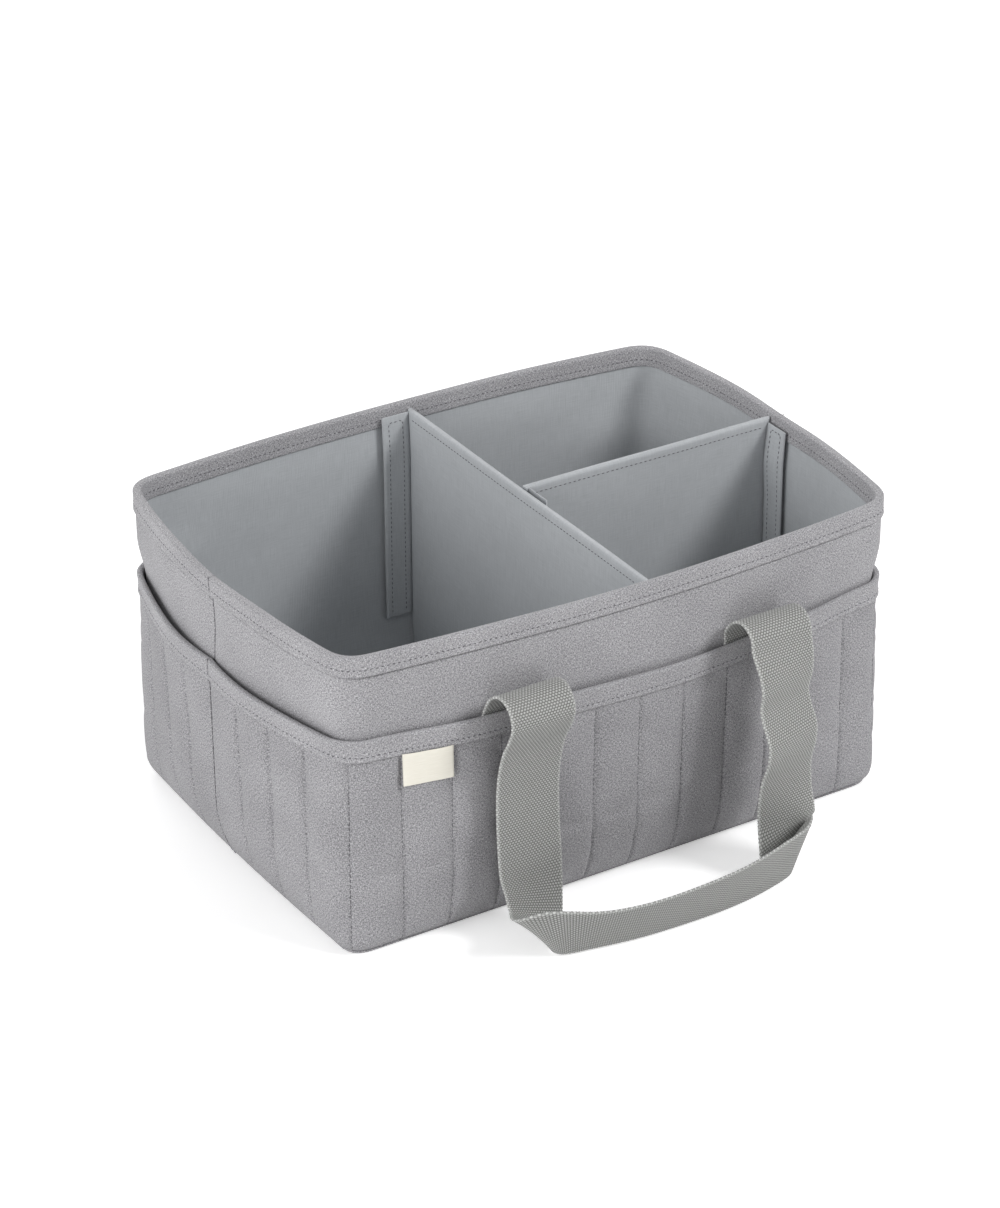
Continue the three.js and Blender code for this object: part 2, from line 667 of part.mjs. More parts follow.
// The long divider's inner flap, on the right face of the cross divider
function junctionSheet(name, from, thickness, width, [low, high], colour) {
  const piece = addPiece(name, new THREE.BoxGeometry(thickness, width, high - low), colour);
  const y = longPlace - flapNear - flapWidth / 2;
  piece.position.set(from + thickness / 2, y, (low + high) / 2);
  return from + thickness + clearance;
}
const tapeSpan = [tapeLow, tapeHigh];
const flapSpan = [flapBottom, flapTop];
let depth = crossFace + clearance;
depth = junctionSheet('cross_divider_loop_tape', depth, tapeThickness, tapeWidth, tapeSpan, colours.tape);
depth = junctionSheet('long_divider_hook_tape', depth, tapeThickness, tapeWidth, tapeSpan, colours.tape);
junctionSheet('long_divider_inner_flap', depth, flapThickness, flapWidth, flapSpan, colours.lining);

export default group;
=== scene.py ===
import math
import bmesh
import bpy
import numpy as np
from mathutils import Matrix


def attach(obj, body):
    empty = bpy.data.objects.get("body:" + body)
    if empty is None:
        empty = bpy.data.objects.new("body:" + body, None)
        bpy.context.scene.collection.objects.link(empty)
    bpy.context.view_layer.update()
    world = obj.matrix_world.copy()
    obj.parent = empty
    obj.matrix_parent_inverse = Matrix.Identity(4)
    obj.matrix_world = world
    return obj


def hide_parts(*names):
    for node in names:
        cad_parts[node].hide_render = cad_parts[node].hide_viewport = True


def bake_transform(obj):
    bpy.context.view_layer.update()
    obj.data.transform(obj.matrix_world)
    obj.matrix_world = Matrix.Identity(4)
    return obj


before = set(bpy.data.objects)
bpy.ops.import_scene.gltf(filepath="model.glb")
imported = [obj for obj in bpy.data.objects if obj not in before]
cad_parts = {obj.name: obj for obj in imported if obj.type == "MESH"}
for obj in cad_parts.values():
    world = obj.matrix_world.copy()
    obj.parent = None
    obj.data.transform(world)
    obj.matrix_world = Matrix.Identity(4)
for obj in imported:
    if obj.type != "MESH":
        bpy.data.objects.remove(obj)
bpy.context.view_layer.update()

# Base. A panel of melange cloth stands on the floor. A stiffening board and a soft sheet lie on it,
# and the walls and the pocket skirt are sewn to its edge.
half_length, half_width = 0.168, 0.116
corner_reach = 0.015
front_bow, side_bow = 0.0105, 0.012
bow_height = 0.045
corner_tuck, tuck_rise = 0.004, 0.028
hem_height, hem_binding = 0.128, 0.012
strap_inside, strap_outside = 0.0545, 0.0925
foot_radius, foot_centre = 0.006, 0.009
panel_edge, panel_thickness = -0.0019, 0.0015
sheet_edge, sheet_low, sheet_high = -0.0054, 0.0045, 0.0066

corner_run = 1.62 * corner_reach
front_run = half_length - corner_reach
side_run = half_width - corner_reach
half_girth = front_run + corner_run + side_run
side_free = side_run / 4
hem_tuck = hem_height - hem_binding / 2


def smooth_step(value, low, high):
    share = np.clip((value - low) / (high - low), 0, 1)
    return share * share * (3 - 2 * share)


def tuck_at(run, height):
    """How far the hem draws the corners of the box in."""
    share = smooth_step(run, strap_outside, front_run) * smooth_step(half_girth - run, side_free, side_run)
    let_go = smooth_step(height, hem_tuck, hem_tuck + tuck_rise)
    rise = np.where(height < hem_tuck, height / hem_tuck, 1 - let_go)
    return corner_tuck * share * rise


def wall_point(girth, height, outward):
    """Points of the wall: girth -1 to 1 goes round the front half, 1 to 3 round the back half."""
    girth, height, outward = np.broadcast_arrays(girth, height, outward)
    turns = np.floor((girth + 1) / 2)
    place = girth - 2 * turns
    run = np.abs(place) * half_girth
    share = 1 - (1 - np.clip(height / bow_height, 0, 1)) ** 2
    u, v = run / half_length, (half_girth - run) / half_width
    u0, v0 = front_run / half_length, side_run / half_width
    t = np.clip((run - front_run) / corner_run, 0, 1)
    start_y = -half_width - front_bow * share * (1 - u0 * u0)
    end_x = half_length + side_bow * share * (1 - v0 * v0)
    parts = [run <= front_run, run >= front_run + corner_run]
    x = np.select(
        parts,
        [run, half_length + side_bow * share * (1 - v * v)],
        (1 - t) ** 2 * front_run + 2 * t * (1 - t) * half_length + t * t * end_x,
    )
    y = np.select(
        parts,
        [-half_width - front_bow * share * (1 - u * u), run - half_girth],
        (1 - t) ** 2 * start_y - 2 * t * (1 - t) * half_width - t * t * side_run,
    )
    along_x = np.select(
        parts,
        [np.full_like(run, half_length), 2 * side_bow * share * v],
        (1 - t) * (half_length - front_run) + t * (end_x - half_length),
    )
    along_y = np.select(
        parts,
        [2 * front_bow * share * u, np.full_like(run, half_width)],
        (1 - t) * (-half_width - start_y) + t * (half_width - side_run),
    )
    size = np.hypot(along_x, along_y)
    outward = outward - tuck_at(run, height)
    x = x + outward * along_y / size
    y = y - outward * along_x / size
    half = np.where(turns % 2 == 0, 1.0, -1.0)
    return np.stack([half * np.where(place < 0, -x, x), half * y, height + 0 * x], -1)


def girth_steps(low, high, step):
    """Even stops round the girth, about one step of cloth apart."""
    return np.linspace(low, high, max(2, round((high - low) * half_girth / step)) + 1)


def new_object(name, data):
    made = bpy.data.objects.new(name, data)
    bpy.context.collection.objects.link(made)
    return made


def grid_mesh(name, points, across, along, ring=False, loop=False, fill=""):
    """A mesh from rows of points, with its cloth coordinates in metres. A ring closes each row on
    itself, a loop closes the last row on the first, and fill names the open ends to close."""
    rows, columns = points.shape[:2]
    j_count, i_count = columns if ring else columns - 1, rows if loop else rows - 1
    i, j = np.meshgrid(np.arange(i_count), np.arange(j_count), indexing="ij")
    corners = [(i, j), (i, j + 1), (i + 1, j + 1), (i + 1, j)]
    faces = np.stack([(a % rows) * columns + b % columns for a, b in corners], -1).reshape(-1, 4)
    uv = np.stack([np.stack([across[a], along[b]], -1) for a, b in corners], 2).reshape(-1, 2)
    faces = [tuple(face) for face in faces.tolist()]
    ends = []
    if "rows" in fill:
        ends += [range(columns), range((rows - 1) * columns, rows * columns)]
    if "columns" in fill:
        ends += [range(0, rows * columns, columns), range(columns - 1, rows * columns, columns)]
    mesh = bpy.data.meshes.new(name)
    mesh.from_pydata(points.reshape(-1, 3).tolist(), [], faces + [tuple(end) for end in ends])
    flat = points.reshape(-1, 3)[[k for end in ends for k in end]][:, :2]
    layer = mesh.uv_layers.new(name="cloth")
    layer.data.foreach_set("uv", np.concatenate([uv, flat]).astype(np.float32).ravel())
    shape = bmesh.new()
    shape.from_mesh(mesh)
    bmesh.ops.recalc_face_normals(shape, faces=shape.faces)
    shape.to_mesh(mesh)
    shape.free()
    mesh.shade_smooth()
    return new_object(name, mesh)


def path_lengths(outline):
    """How far along a closed outline each of its points lies, and its whole length at the end."""
    around = np.concatenate([outline, outline[:1]])
    return np.concatenate([[0], np.cumsum(np.hypot(*np.diff(around, axis=0).T))])


whole_girth = girth_steps(-1, 3, 0.004)[:-1]


def base_plate(name, edge, low, high):
    soft = 0.35 * (high - low)
    outline = np.array([(edge - soft, low), (edge, low + soft), (edge, high - soft), (edge - soft, high)])
    points = wall_point(whole_girth[:, None], np.zeros(4), outline[None, :, 0])
    points[..., 2] = outline[:, 1]
    along = np.append(whole_girth, 3) * half_girth
    return grid_mesh(name, points, along, outline[:, 1], loop=True, fill="columns")


def linear(red, green, blue):
    """A colour given in screen values from 0 to 255."""
    screen = np.array([red, green, blue]) / 255
    light = np.where(screen <= 0.04045, screen / 12.92, ((screen + 0.055) / 1.055) ** 2.4)
    return (*light.tolist(), 1.0)


class Signal:
    """A socket of a finish. Sums on it add the Math nodes that they stand for."""

    def __init__(self, socket):
        self.socket = socket

    def node(self, kind, settings=None, sockets=None, output=0):
        tree = self.socket.id_data
        made = tree.nodes.new(kind)
        for key, value in (settings or {}).items():
            if key == "stops":
                for k, (place, colour) in enumerate(value):
                    stops = made.color_ramp.elements
                    stop = stops[k] if k < len(stops) else stops.new(place)
                    stop.position, stop.color = place, colour
            else:
                setattr(made, key, value)
        for key, value in (sockets or {}).items():
            if isinstance(value, Signal):
                tree.links.new(value.socket, made.inputs[key])
            else:
                made.inputs[key].default_value = value
        return Signal(made.outputs[output])

    def sum(self, operation, *values):
        return self.node("ShaderNodeMath", {"operation": operation}, dict(enumerate(values)))

    def __add__(self, other):
        return self.sum("ADD", self, other)

    def __sub__(self, other):
        return self.sum("SUBTRACT", self, other)

    def __mul__(self, other):
        return self.sum("MULTIPLY", self, other)

    def mix(self, low, high):
        """Between two colours, by this value."""
        sockets = {0: self, 6: low, 7: high}
        return self.node("ShaderNodeMix", {"data_type": "RGBA"}, sockets, output=2)

    def spread(self, low, high):
        """This value with low to high drawn out to 0 to 1."""
        return self.node("ShaderNodeMapRange", None, {0: self, 1: low, 2: high})


def new_finish(name, roughness, sheen):
    """A matt cloth finish: its material, its shader and its cloth coordinates."""
    material = bpy.data.materials.new(name)
    material.use_nodes = True
    shader = material.node_tree.nodes["Principled BSDF"]
    settings = {
        "Roughness": roughness, "Sheen Weight": sheen, "Sheen Roughness": 0.6, "Specular IOR Level": 0.2,
    }
    for key, value in settings.items():
        shader.inputs[key].default_value = value
    coordinates = material.node_tree.nodes.new("ShaderNodeUVMap")
    coordinates.uv_map = "cloth"
    return material, shader, Signal(coordinates.outputs[0])


def connect(signal, shader, socket):
    signal.socket.id_data.links.new(signal.socket, shader.inputs[socket])


def fibres(cloth, across, along, detail=2.0):
    """Noise drawn out along the threads, with so many fibres to the metre each way."""
    sized = cloth.node("ShaderNodeVectorMath", {"operation": "MULTIPLY"}, {0: cloth, 1: (across, along, 1)})
    sockets = {"Vector": sized, "Scale": 1.0, "Detail": detail, "Roughness": 0.6}
    return cloth.node("ShaderNodeTexNoise", None, sockets)


def emboss(height, shader, strength, distance):
    sockets = {"Height": height, "Strength": strength, "Distance": distance}
    connect(height.node("ShaderNodeBump", None, sockets), shader, "Normal")


def dress(piece, finish, body, node):
    """Gives a piece its finish and the body that it rides on, and hides the solid that it stands for."""
    piece.data.materials.append(finish)
    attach(piece, body)
    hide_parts(node)


def melange_finish(name, dark, middle, light):
    """Heathered cloth: pale and dark fibres spun together, woven plain, with a slight nap."""
    material, shader, cloth = new_finish(name, 0.92, 0.12)
    weft = fibres(cloth, 800, 2500)
    warp = fibres(cloth, 2500, 800)
    flecks = fibres(cloth, 1900, 1900, 3.0)
    drift = fibres(cloth, 24, 24)
    speckle = (weft + warp + flecks) * 0.333 + (drift - 0.5) * 0.06
    shade = speckle.spread(0.39, 0.61)
    stops = [(0.0, linear(*dark)), (0.5, linear(*middle)), (1.0, linear(*light))]
    colour = shade.node("ShaderNodeValToRGB", {"stops": stops}, {0: shade})
    connect(colour, shader, "Base Color")
    emboss(shade, shader, 0.15, 0.0002)
    return material


def fibre_finish(name, roughness, sheen, grain, dark, light, bump=None):
    """A finish that strays between two colours with its fibres, which stand up where it has a bump."""
    material, shader, cloth = new_finish(name, roughness, sheen)
    shade = fibres(cloth, *grain)
    if bump:
        emboss(shade, shader, *bump)
        shade = shade.spread(0.3, 0.7)
    connect(shade.mix(linear(*dark), linear(*light)), shader, "Base Color")
    return material


def refinish(node, finish):
    """Gives a solid of the frame, which stays in view, a finish of its own."""
    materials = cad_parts[node].data.materials
    materials.clear()
    materials.append(finish)


melange = melange_finish("grey_melange", (99, 98, 102), (158, 157, 160), (212, 211, 214))
base_panel = base_plate("base_panel", panel_edge, 0.0, panel_thickness)
dress(base_panel, melange, "caddy", "base_outer_panel")

board = fibre_finish("stiffening_board", 0.7, 0.0, (60, 60, 4.0), (96, 91, 85), (124, 118, 110))
refinish("base_board", board)

wadding = fibre_finish("white_wadding", 0.95, 0.2, (220, 220, 4.0), (222, 219, 210), (242, 240, 233))
base_sheet = base_plate("base_padding", sheet_edge, sheet_low, sheet_high)
dress(base_sheet, wadding, "caddy", "base_foam")

# Wall padding. Four soft sheets stand inside the walls, one to a side, mitred at the corners. The
# walls lean and wave a little, as soft walls do, and every layer of the wall shares that wave.
rim_height = 0.177
wall_top = rim_height - 0.001
padding_outer, padding_inner = -0.0012, -0.0036
padding_at_rim = 0.0005
press_level = hem_tuck + tuck_rise
mitre = (front_run + corner_run / 2) / half_girth
mitre_gap = 0.00015 / half_girth
wave_size, pillow_size, pinch_size, pinch_reach = 0.0006, 0.0014, 0.0011, 0.009
seam_dip, dip_reach = 0.0016, 0.03


def from_seam(girth):
    """How much cloth lies between a place and the nearest side seam."""
    return np.abs(((girth - 1) % 2 + 1) % 2 - 1) * half_girth


def wall_wave(girth, height):
    """How far the soft wall strays outwards from its smooth line."""
    turn = np.pi / 2 * girth
    wave = 0.8 * np.sin(3 * turn + 0.6) + 0.45 * np.sin(7 * turn + 2.1) + 0.1 * np.sin(13 * turn + 4.0)
    loose = np.sin(np.pi * np.clip((height - hem_tuck) / (rim_height - hem_tuck), 0, 1)) ** 2
    pillow = np.sin(np.pi * np.clip(from_seam(girth) / side_run, 0, 1)) ** 2
    pinch = np.exp(-((from_seam(girth) / pinch_reach) ** 2))
    billow = loose * (pillow_size * pillow - pinch_size * pinch)
    return wave_size * wave * np.clip((height - foot_centre) / rim_height, 0, 1) + billow


def laid(girth, height, outward):
    """Where a layer of the wall lies: the padding thins towards the rim and the inner layers follow."""
    share = np.clip((padding_outer - outward) / (padding_outer - padding_inner), 0, 1)
    rise = np.clip((height - press_level) / (rim_height - press_level), 0, 1)
    press = (padding_outer - padding_inner - padding_at_rim) * share * rise
    return outward + press + wall_wave(girth, height)


def rim_dip(girth, height):
    """How far the walls' upper part hangs down at the side seams."""
    high = np.clip((height - hem_height) / (rim_height - hem_height), 0, 1)
    return seam_dip * np.exp(-((from_seam(girth) / dip_reach) ** 2)) * high


def on_wall(girth, height, outward):
    """Points of a layer of the soft wall."""
    points = wall_point(girth, height, laid(girth, height, outward))
    points[..., 2] -= rim_dip(girth, height)
    return points


def wall_sheet(name, girths, sections, loop=False):
    """A closed sheet along the wall. A section is a closed list of (outward, height): there is one for
    each stop, or one for all."""
    sections = np.broadcast_to(sections, (len(girths), *sections.shape[-2:]))
    outward, height = sections[..., 0], sections[..., 1]
    points = on_wall(girths[:, None], height, outward)
    across = (np.append(girths, girths[0] + 4) if loop else girths) * half_girth
    fill = "" if loop else "rows"
    return grid_mesh(name, points, across, path_lengths(sections[0]), ring=True, loop=loop, fill=fill)


def upright_section(inner, outer, low, high, step=0.006):
    """A layer between two heights, with its top and bottom edges rounded over."""
    soft = (outer - inner) / 2
    middle = (outer + inner) / 2
    rise = np.linspace(low + soft, high - soft, max(2, round((high - low) / step)) + 1)
    bend = np.linspace(0, np.pi, 7)[1:-1]
    top = np.stack([middle + soft * np.cos(bend), high - soft + soft * np.sin(bend)], 1)
    bottom = np.stack([middle - soft * np.cos(bend), low + soft - soft * np.sin(bend)], 1)
    up = np.stack([np.full_like(rise, outer), rise], 1)
    down = np.stack([np.full_like(rise, inner), rise[::-1]], 1)
    return np.concatenate([up, top, down, bottom])


sides = {
    "front": (-mitre, mitre),
    "right": (mitre, 2 - mitre),
    "back": (2 - mitre, 2 + mitre),
    "left": (2 + mitre, 4 - mitre),
}
for side, (low, high) in sides.items():
    girths = girth_steps(low + mitre_gap, high - mitre_gap, 0.006)
    section = upright_section(padding_inner, padding_outer, foot_centre, wall_top)
    padding = wall_sheet(f"wall_padding_{side}", girths, section)
    dress(padding, wadding, "caddy", f"wall_foam_{side}")

# Lining. Smooth blue-grey cloth covers the inside of the walls in one band and the floor in one
# piece. The band turns in at the foot, where it is sewn to the floor.
lining_outer, lining_inner = -0.0039, -0.0045
floor_low, floor_high, floor_gap = 0.0069, 0.0075, 0.0003


def footed_section(inner, outer, rise, sweep):
    """A layer whose foot turns in under the box through an angle, with rows at the given heights."""
    turn = np.linspace(sweep, 0, 8)[:-1]

    def face(outward):
        reach = foot_radius + outward
        foot = np.stack([-foot_radius + reach * np.cos(turn), foot_centre - reach * np.sin(turn)], 1)
        return np.concatenate([foot, np.stack([np.full_like(rise, outward), rise], 1)])

    return np.concatenate([face(outer), face(inner)[::-1]])


def plain_cloth_finish(name, dark, light, threads):
    """Smooth closely woven cloth: fine plain weave, hardly any nap."""
    material, shader, cloth = new_finish(name, 0.75, 0.05)
    slub = fibres(cloth, 90, 2200) * 0.5 + fibres(cloth, 2200, 90) * 0.5
    drift = fibres(cloth, 18, 18)
    shade = (slub + (drift - 0.5) * 0.25).spread(0.3, 0.7)
    connect(shade.mix(linear(*dark), linear(*light)), shader, "Base Color")
    split = cloth.node("ShaderNodeSeparateXYZ", None, {0: cloth})
    ridges = split.sum("SINE", split * (threads * 2 * math.pi))
    emboss(ridges * 0.3 + slub, shader, 0.2, 0.0003)
    return material


lining_cloth = plain_cloth_finish("blue_grey_lining", (171, 174, 177), (191, 194, 197), 900)
section = footed_section(lining_inner, lining_outer, np.linspace(foot_centre, wall_top, 29), math.pi / 2)
lining = wall_sheet("lining_band", whole_girth, section, loop=True)
lining_floor = base_plate("lining_bottom", -foot_radius - floor_gap, floor_low, floor_high)
dress(lining, lining_cloth, "caddy", "lining_walls")
dress(lining_floor, lining_cloth, "caddy", "lining_floor")

# Shell. The outside of the box is melange cloth in two halves, sewn together up the middle of each
# short side. A fine groove shows along those seams and under the rim binding.
shell_thickness = 0.0009
shell_sweep = math.radians(80)
seam_gap = 0.00004 / half_girth
halves = {"front": 0, "back": 2}

rim_outside, rim_inside = 0.011, 0.0115
lip_level = rim_height - rim_outside
rise = np.concatenate([np.linspace(foot_centre, wall_top, 68), lip_level + np.linspace(-0.004, 0.002, 16)])
section = footed_section(-shell_thickness, 0.0, np.unique(rise), shell_sweep)
seam_width, seam_depth = 0.0019, 0.0008
lip_depth, lip_drop, lip_width = 0.0008, 0.0006, 0.0009
deepest = shell_thickness - 0.00005
outer_face = -0.0005
for half, turn in halves.items():
    girths = girth_steps(-1 + seam_gap, 1 - seam_gap, 0.003)
    near_seam = np.geomspace(0.0002, 0.006, 9) / half_girth
    girths = np.unique(np.concatenate([girths, near_seam - 1 + seam_gap, 1 - seam_gap - near_seam]))
    sections = np.repeat(section[None], len(girths), 0)
    outside = sections[..., 0] > outer_face
    groove = seam_depth * np.exp(-from_seam(girths) / seam_width)[:, None]
    groove = groove + lip_depth * np.exp(-(((section[:, 1] - lip_level + lip_drop) / lip_width) ** 2))
    sections[..., 0] -= np.minimum(groove, deepest) * outside
    shell = wall_sheet(f"shell_cloth_{half}", girths + turn, sections)
    dress(shell, melange, "caddy", f"shell_{half}")

# Pocket skirt. A quilted melange layer in two halves stands round the box up to the hem. Upright
# stitched lines hold it in channels that puff out, and the short sides hang a little open.
skirt_thickness = 0.0012
foot_gap, mouth_gap, tack_gap, side_gape = 0.0009, 0.0030, 0.0016, 0.0028
front_channels, side_channels = 12, 8
channel_puff, most_puff = 0.0016, 1.1
stitch_pull, side_pull = 0.0010, 0.0009
side_pull_from, side_pull_full = 0.026, 0.060
hem_sag, sag_place, sag_reach = 0.0022, 0.09, 0.16
behind_strap_drop, behind_strap_margin, behind_strap_share = 0.045, 0.004, 0.3
skirt_low, top_drop = 0.0017, 0.001
foot_cloth, wall_cloth = 0.009, 0.118
skirt_reach = foot_radius + foot_gap + skirt_thickness
skirt_sweep = math.asin((foot_centre - skirt_low) / skirt_reach)


def side_share(girth):
    return np.clip((np.abs(girth) - mitre) / (1 - mitre), 0, 1)


def hem_at(girth):
    """The hem sags a little between the straps."""
    return hem_height - hem_sag * np.exp(-(((girth - sag_place) / sag_reach) ** 2))


def skirt_inner(girth, height):
    rise = np.clip((height - foot_centre) / (hem_at(girth) - foot_centre), 0, 1)
    tacked = smooth_step(np.abs(girth) * half_girth, strap_outside, front_run)
    hem_gap = mouth_gap + tacked * (tack_gap - mouth_gap)
    gape = side_gape * (1 - np.abs(2 * side_share(girth) - 1) ** 3)
    return foot_gap + rise * (hem_gap - foot_gap) + rise * rise * gape


channel_lines = np.concatenate([
    np.linspace(-1, -mitre, side_channels // 2 + 1)[:-1],
    np.linspace(-mitre, mitre, front_channels + 1)[:-1],
    np.linspace(mitre, 1, side_channels // 2 + 1),
])
quilting_steps = 20
in_channel = np.array([0, 0.028, 0.075, 0.17, 0.32, 0.5, 0.68, 0.83, 0.925, 0.972])
skirt_girths = np.concatenate([a + (b - a) * in_channel for a, b in zip(channel_lines, channel_lines[1:])])
skirt_girths = np.append(skirt_girths, 1.0)
skirt_girths[0], skirt_girths[-1] = -1 + seam_gap, 1 - seam_gap
line_columns = np.arange(len(channel_lines)) * len(in_channel)


def points_of(mesh):
    return np.array([v.co for v in mesh.vertices])


def move_points(mesh, points):
    mesh.vertices.foreach_set("co", points.astype(np.float32).ravel())
    mesh.update()


def quilt(skirt, held):
    """Puffs the cloth out between its stitched lines with a cloth simulation."""
    start = points_of(skirt.data)
    group = skirt.vertex_groups.new(name="stitched")
    group.add(np.flatnonzero(held).tolist(), 1.0, "REPLACE")
    modifier = skirt.modifiers.new("quilting", "CLOTH")
    settings = {
        "quality": 6, "mass": 0.1, "tension_stiffness": 20, "compression_stiffness": 8, "shear_stiffness": 6,
        "bending_stiffness": 0.4, "shrink_min": -0.012, "use_pressure": True, "uniform_pressure_force": 11,
        "vertex_group_mass": "stitched",
    }
    for key, value in settings.items():
        setattr(modifier.settings, key, value)
    modifier.settings.effector_weights.gravity = 0
    modifier.collision_settings.use_collision = False
    modifier.point_cache.frame_end = quilting_steps
    for step in range(1, quilting_steps + 1):
        bpy.context.scene.frame_set(step)
    evaluated = skirt.evaluated_get(bpy.context.evaluated_depsgraph_get())
    move = points_of(evaluated.data) - start
    skirt.modifiers.remove(modifier)
    skirt.vertex_groups.clear()
    bpy.context.scene.frame_set(1)
    length = np.linalg.norm(move, axis=1, keepdims=True)
    most = most_puff * channel_puff
    move *= np.tanh(length / most) * most / np.maximum(length, 1e-9)
    move_points(skirt.data, start + move)


# The skirt's melange is the shell's cloth painted about 4 % darker: painted shade for the lower part of the
# box, which gets less light from above.
quilted_melange_painted_shade = melange_finish("quilted_melange_painted_shade", (93, 92, 96), (151, 150, 153), (204, 203, 206))
skirts = {}
for half, turn in halves.items():
    stops = skirt_girths[:, None]
    share = np.linspace(0, 1, 44)
    top = hem_at(stops) - top_drop
    height = foot_centre + share * (top - foot_centre)
    outward = skirt_inner(stops, height) + skirt_thickness
    foot = np.linspace(skirt_sweep, 0, 7)[:-1]
    height = np.concatenate([foot_centre - skirt_reach * np.sin(foot) + 0 * stops, height], 1)
    outward = np.concatenate([skirt_reach * np.cos(foot) - foot_radius + 0 * stops, outward], 1)
    below_hem = hem_at(stops) - hem_binding - height
    drawn_in = smooth_step(below_hem, -0.001, 0.004)
    from_strap = np.abs(np.abs(stops) * half_girth - (strap_outside + strap_inside) / 2)
    behind = from_strap < (strap_outside - strap_inside) / 2 + behind_strap_margin
    behind = behind & (height > hem_height - behind_strap_drop)
    drawn_in = np.where(behind, behind_strap_share, 1) * drawn_in
    clear = smooth_step(height, side_pull_from, side_pull_full) * smooth_step(below_hem, 0, hem_binding / 2)
    pull = stitch_pull + side_pull * (side_share(stops) > 0) * clear
    outward[line_columns[1:-1]] -= (pull * drawn_in)[line_columns[1:-1]]
    points = on_wall(stops + turn, height, outward)
    along = np.concatenate([np.linspace(-foot_cloth, 0, len(foot) + 1)[:-1], share * wall_cloth])
    skirt = grid_mesh(f"pocket_quilt_{half}", points, (skirt_girths + turn) * half_girth, along)
    held = np.zeros(points.shape[:2], bool)
    held[line_columns] = True
    held |= height > hem_at(stops) - hem_binding
    held |= height < foot_centre - 0.001
    facing = np.array(skirt.data.polygons[0].normal)
    if facing @ (points[0, 1] * (1, 1, 0)) < 0:
        skirt.data.flip_normals()
    quilt(skirt, held.ravel())
    wall = skirt.modifiers.new("thickness", "SOLIDIFY")
    wall.thickness, wall.offset = skirt_thickness, -1
    smooth = skirt.modifiers.new("smooth", "SUBSURF")
    smooth.levels = smooth.render_levels = 1
    dress(skirt, quilted_melange_painted_shade, "caddy", f"pocket_skirt_{half}")
    skirts[half] = (skirt, points.shape[:2], height)

# Quilting stitches. Each channel line and each side seam of the skirt is sewn with grey thread that sinks
# into the cloth. The stitches lie end to end, painted dark: painted shade for the creases along the lines.
stitch_pitch, stitch_length, stitch_width = 0.0030, 0.0020, 0.0007
quilting_length, quilting_width = 0.0030, 0.0006
thread_lift = 0.00012


def stitch_tree():
    """Geometry nodes that lay a thread stitch at even steps along every edge path."""
    tree = bpy.data.node_groups.new("stitch_row", "GeometryNodeTree")
    sockets = tree.interface
    sockets.new_socket("Geometry", in_out="INPUT", socket_type="NodeSocketGeometry")
    for name in ("Pitch", "Length", "Width"):
        sockets.new_socket(name, in_out="INPUT", socket_type="NodeSocketFloat")
    sockets.new_socket("Thread", in_out="INPUT", socket_type="NodeSocketMaterial")
    sockets.new_socket("Geometry", in_out="OUTPUT", socket_type="NodeSocketGeometry")

    def add(kind, settings=None, links=None):
        made = tree.nodes.new(kind)
        for key, value in (settings or {}).items():
            setattr(made, key, value)
        for key, value in (links or {}).items():
            if isinstance(value, bpy.types.NodeSocket):
                tree.links.new(value, made.inputs[key])
            else:
                made.inputs[key].default_value = value
        return made.outputs

    given = add("NodeGroupInput")
    curve = add("GeometryNodeMeshToCurve", None, {0: given["Geometry"]})
    steps = {"Curve": curve[0], "Length": given["Pitch"]}
    spaced = add("GeometryNodeResampleCurve", {"mode": "LENGTH"}, steps)
    tangent = add("GeometryNodeInputTangent")
    turn = add("FunctionNodeAlignEulerToVector", {"axis": "Z"}, {"Vector": tangent[0]})
    bead = add("GeometryNodeMeshIcoSphere", None, {"Radius": 0.5, "Subdivisions": 1})
    size = add("ShaderNodeCombineXYZ", None, {0: given["Width"], 1: given["Width"], 2: given["Length"]})
    beads = {"Points": spaced[0], "Instance": bead[0], "Rotation": turn[0], "Scale": size[0]}
    sewn = add("GeometryNodeInstanceOnPoints", None, beads)
    real = add("GeometryNodeRealizeInstances", None, {0: sewn[0]})
    shown = add("GeometryNodeSetMaterial", None, {"Geometry": real[0], "Material": given["Thread"]})
    add("NodeGroupOutput", None, {0: shown[0]})
    return tree


stitching = stitch_tree()
stitch_inputs = {s.name: s.identifier for s in stitching.interface.items_tree if s.in_out == "INPUT"}


def thread_finish(name, dark, light):
    material, shader = new_finish(name, 0.7, 0.1)[:2]
    place = material.node_tree.nodes.new("ShaderNodeTexCoord")
    twist = fibres(Signal(place.outputs["Object"]), 700, 700)
    connect(twist.mix(linear(*dark), linear(*light)), shader, "Base Color")
    return material


grey_thread = thread_finish("dark_grey_thread", (80, 79, 84), (104, 103, 108))
# The quilting thread is painted darker than the real thread: painted shade for the stitched creases.
crease_shade_thread = thread_finish("grey_thread_painted_crease_shade", (78, 77, 81), (101, 100, 104))


def sew(name, paths, body, thread=None, length=stitch_length, width=stitch_width):
    """Rows of stitches along paths of points, as one piece on a body; laid end to end, also painted shade
    lines.
    """
    counts = np.cumsum([0] + [len(path) for path in paths])
    edges = [(k, k + 1) for a, b in zip(counts, counts[1:]) for k in range(a, b - 1)]
    mesh = bpy.data.meshes.new(name)
    mesh.from_pydata(np.concatenate(paths).tolist(), edges, [])
    rows = new_object(name, mesh)
    modifier = rows.modifiers.new("stitches", "NODES")
    modifier.node_group = stitching
    given = {"Pitch": stitch_pitch, "Length": length, "Width": width, "Thread": thread or grey_thread}
    for key, value in given.items():
        modifier[stitch_inputs[key]] = value
    evaluated = rows.evaluated_get(bpy.context.evaluated_depsgraph_get())
    sewn = bpy.data.meshes.new_from_object(evaluated)
    rows.modifiers.remove(modifier)
    rows.data = sewn
    rows.data.shade_smooth()
    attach(rows, body)
    return rows


